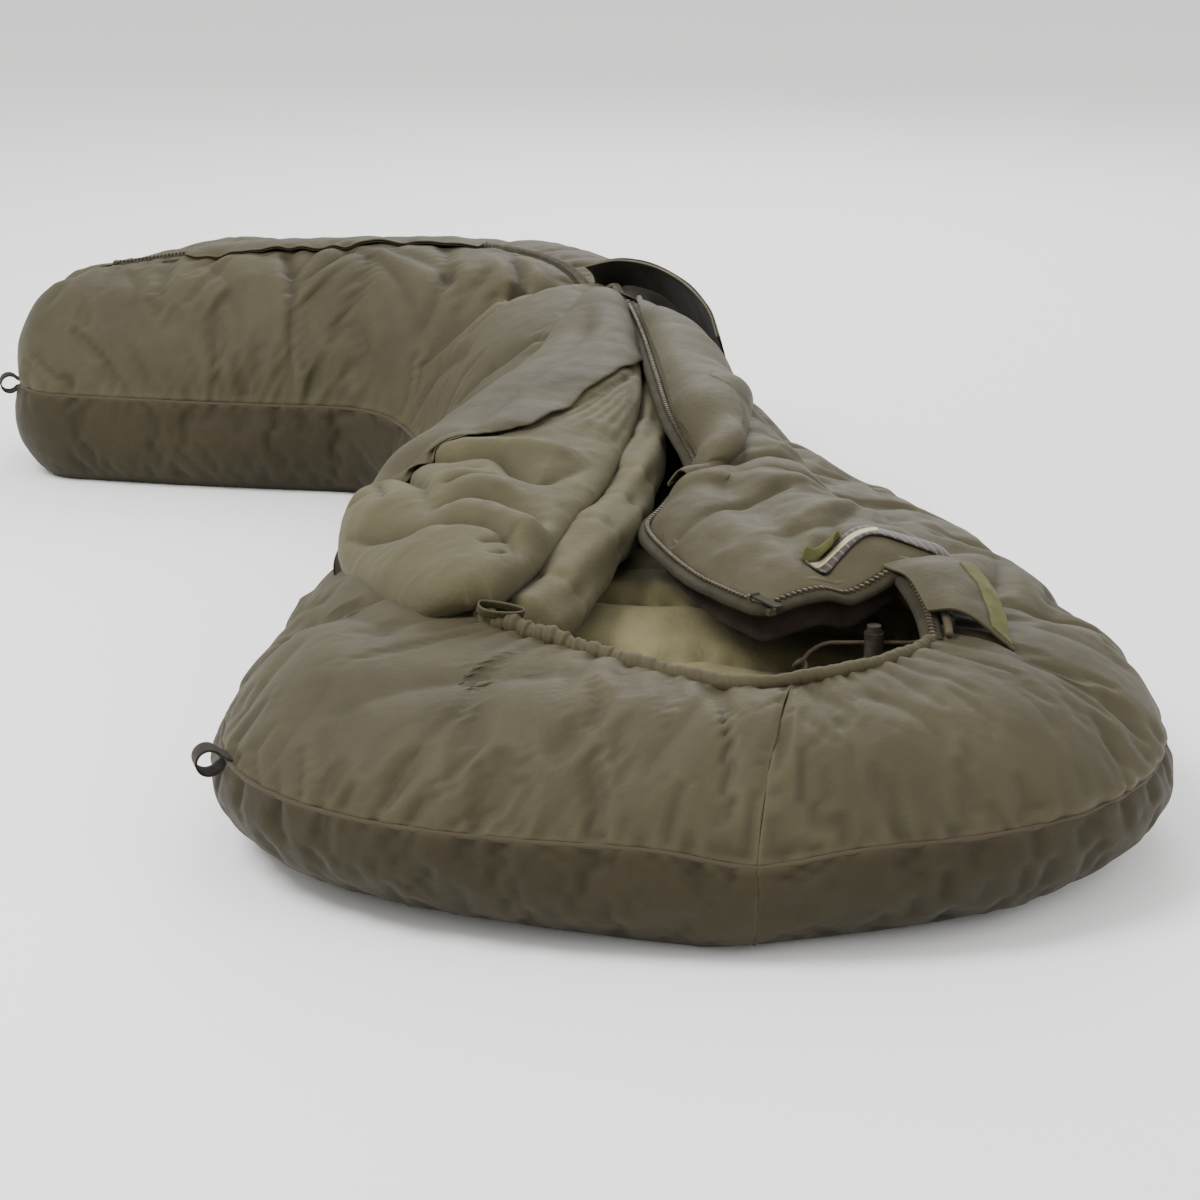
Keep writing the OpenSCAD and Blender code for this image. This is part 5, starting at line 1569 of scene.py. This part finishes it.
def webbing_loop(name, node, mount_name, root, width, thick=0.0017, radius=0.0098):
    """A loop of webbing around the CAD loop's bore, with both ends sewn into the seam at root."""
    lo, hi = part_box(node)
    c = np.array([(lo.x + hi.x) / 2, (lo.y + hi.y) / 2, (lo.z + hi.z) / 2])
    bore = np.array(mount(mount_name)["axis"], float)
    away = unit(c - np.array(root))
    away = unit(away - bore * (away @ bore))
    up = np.cross(bore, away)
    pts = [np.array(root) - away * 0.006 + up * 0.0012]
    for a in np.linspace(145, -145, 40):
        r = radius + thick / 2
        pts.append(c + away * r * math.cos(math.radians(a)) + up * r * math.sin(math.radians(a)))
    pts.append(np.array(root) - away * 0.006 - up * 0.0012)
    path = smooth_path(resample(np.array(pts), 130), 3)
    w = np.linspace(-width / 2, width / 2, 7)
    g = np.stack([path + bore * x for x in w], axis=1)
    return sheet(name, g, webbing_mat, thick, offset=0.0)


side_root = sample(seam_loop, [nearest_s(seam_loop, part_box("shoulder_loop")[0].xy[:])])[0]
foot_root = sample(seam_loop, [nearest_s(seam_loop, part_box("foot_loop")[0].xy[:])])[0]
webbing_width = 0.020
for name, node, mount_name, root, body in (
        ("shoulder_webbing_loop", "shoulder_loop", "shoulder_loop", side_root, "bag"),
        ("foot_webbing_loop", "foot_loop", "foot_hanging_loop", foot_root, "legs")):
    attach(webbing_loop(name, node, mount_name, root, webbing_width), body, "webbing", node)

# Flat binding loop at the lower corner of the left flap.
loop_mid = np.array([-0.084, -0.616, 0.192])
a = np.linspace(0, 2 * math.pi, 91)
ring = loop_mid + np.stack([0.019 * np.cos(a) + 0.003 * np.cos(2 * a), 0.007 * np.sin(a) - 0.004 * np.cos(a),
                            0.0025 * np.sin(a + 0.6) - 0.003 * np.cos(a)], axis=1)
binding_grid = np.stack([ring + np.array([0.0008 * x, -0.0014 * x, 0.0034 * x])
                         for x in np.linspace(-1, 1, 5)], axis=1)
binding = sheet("drawcord_binding_loop", binding_grid, hem_mat, SKIN, offset=0.0)
attach(binding, "bag", "cord", "drawcord_loop")

# The drawcord leaves the hem, passes straight through the cord lock and ends in a knot.
lock_low, lock_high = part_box("cord_lock_barrel")
cord_y = 0.5 * (lock_low.y + lock_high.y)
cord_z = 0.158
cord_path = through_points([tuple(hem_path[-6] - UP * 0.004), (0.272, cord_y - 0.002, 0.163),
                            (0.258, cord_y, cord_z), (0.240, cord_y, cord_z), (0.205, cord_y, cord_z),
                            (0.186, cord_y, cord_z - 0.001), (0.172, cord_y - 0.004, 0.150),
                            (0.165, cord_y - 0.010, 0.141)], 160, 1)
cord = tube("drawcord_braided", cord_path, 0.0017, cord_mat, sides=10,
            profile=lambda i, a: 1 + 0.05 * np.sin(i * 1.1 + 3 * a))
a = np.linspace(0, 2 * math.pi, 50, endpoint=False)
knot_shape = np.stack([0.0045 * np.cos(a), 0.0030 * np.sin(2 * a), 0.0045 * np.sin(a)], axis=1)
knot_path = cord_path[-1] + knot_shape
knot = tube("drawcord_knot", knot_path, 0.0022, cord_mat, sides=10, closed=True)
for piece in (cord, knot):
    attach(piece, "bag", "cord")
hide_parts("hood_drawcord")

# ---------------------------------------------------------------- finishes of the CAD nodes that stay

for names, material in ((("upper_slider", "lower_slider", "zip_top_stop"), teeth_mat),
                        (("upper_pull_tab", "lower_pull_tab"), zip_tape_mat),
                        (("cord_lock_barrel", "cord_lock_plunger"), lock_mat),
                        (("cord_lock_spring",), spring_mat)):
    for name in names:
        for part_slot in nodes[name].material_slots:
            part_slot.material = material

# ---------------------------------------------------------------- floor, light and camera


def flat_floor():
    """A pale floor a hair below the ground, which is not part of the object."""
    size = 9.0
    floor = new_mesh("floor", [(-size, -size, 0), (size, -size, 0), (size, size, 0), (-size, size, 0)],
                     [(0, 1, 2, 3)], None, smooth=False)
    floor.location.z = -0.0005
    m = Nodes("pale floor")
    colour = m.ramp(m.noise(0.8, 2.0, 0.5), (0.92, 0.92, 0.92, 1), (0.95, 0.95, 0.95, 1))
    m.finish(colour, 0.9, m.bump(m.noise(400.0, 2.0, 0.5), 0.05, 0.0005))
    floor.data.materials.append(m.mat)


def soft_light(name, place, aim, size, power):
    """A round area light, aimed at a point; size in metres, power in watts."""
    data = bpy.data.lights.new(name, "AREA")
    data.shape = "DISK"
    data.size = size
    data.energy = power
    light = bpy.data.objects.new(name, data)
    bpy.context.scene.collection.objects.link(light)
    light.location = place
    light.rotation_euler = (Vector(aim) - Vector(place)).to_track_quat("-Z", "Y").to_euler()


flat_floor()
middle = (-0.1, -0.05, 0.1)
soft_light("key", (-1.7, -1.0, 2.7), middle, 1.5, 116)
soft_light("fill", (2.4, -1.6, 1.8), middle, 2.4, 34)
soft_light("back", (0.4, 2.6, 2.2), middle, 2.2, 60)

world = bpy.data.worlds.new("studio")
world.use_nodes = True
sky = world.node_tree.nodes["Background"]
sky.inputs["Color"].default_value = (1.0, 0.99, 0.97, 1)
sky.inputs["Strength"].default_value = 1.15
bpy.context.scene.world = world

camera_data = bpy.data.cameras.new("camera")
camera_data.lens = 81
camera_data.sensor_width = 36
camera_data.clip_start = 0.05
camera = bpy.data.objects.new("camera", camera_data)
bpy.context.scene.collection.objects.link(camera)
camera.location = (0, -2.7105, 0.8807)
camera.rotation_euler = (math.radians(72), 0, 0)
bpy.context.scene.camera = camera
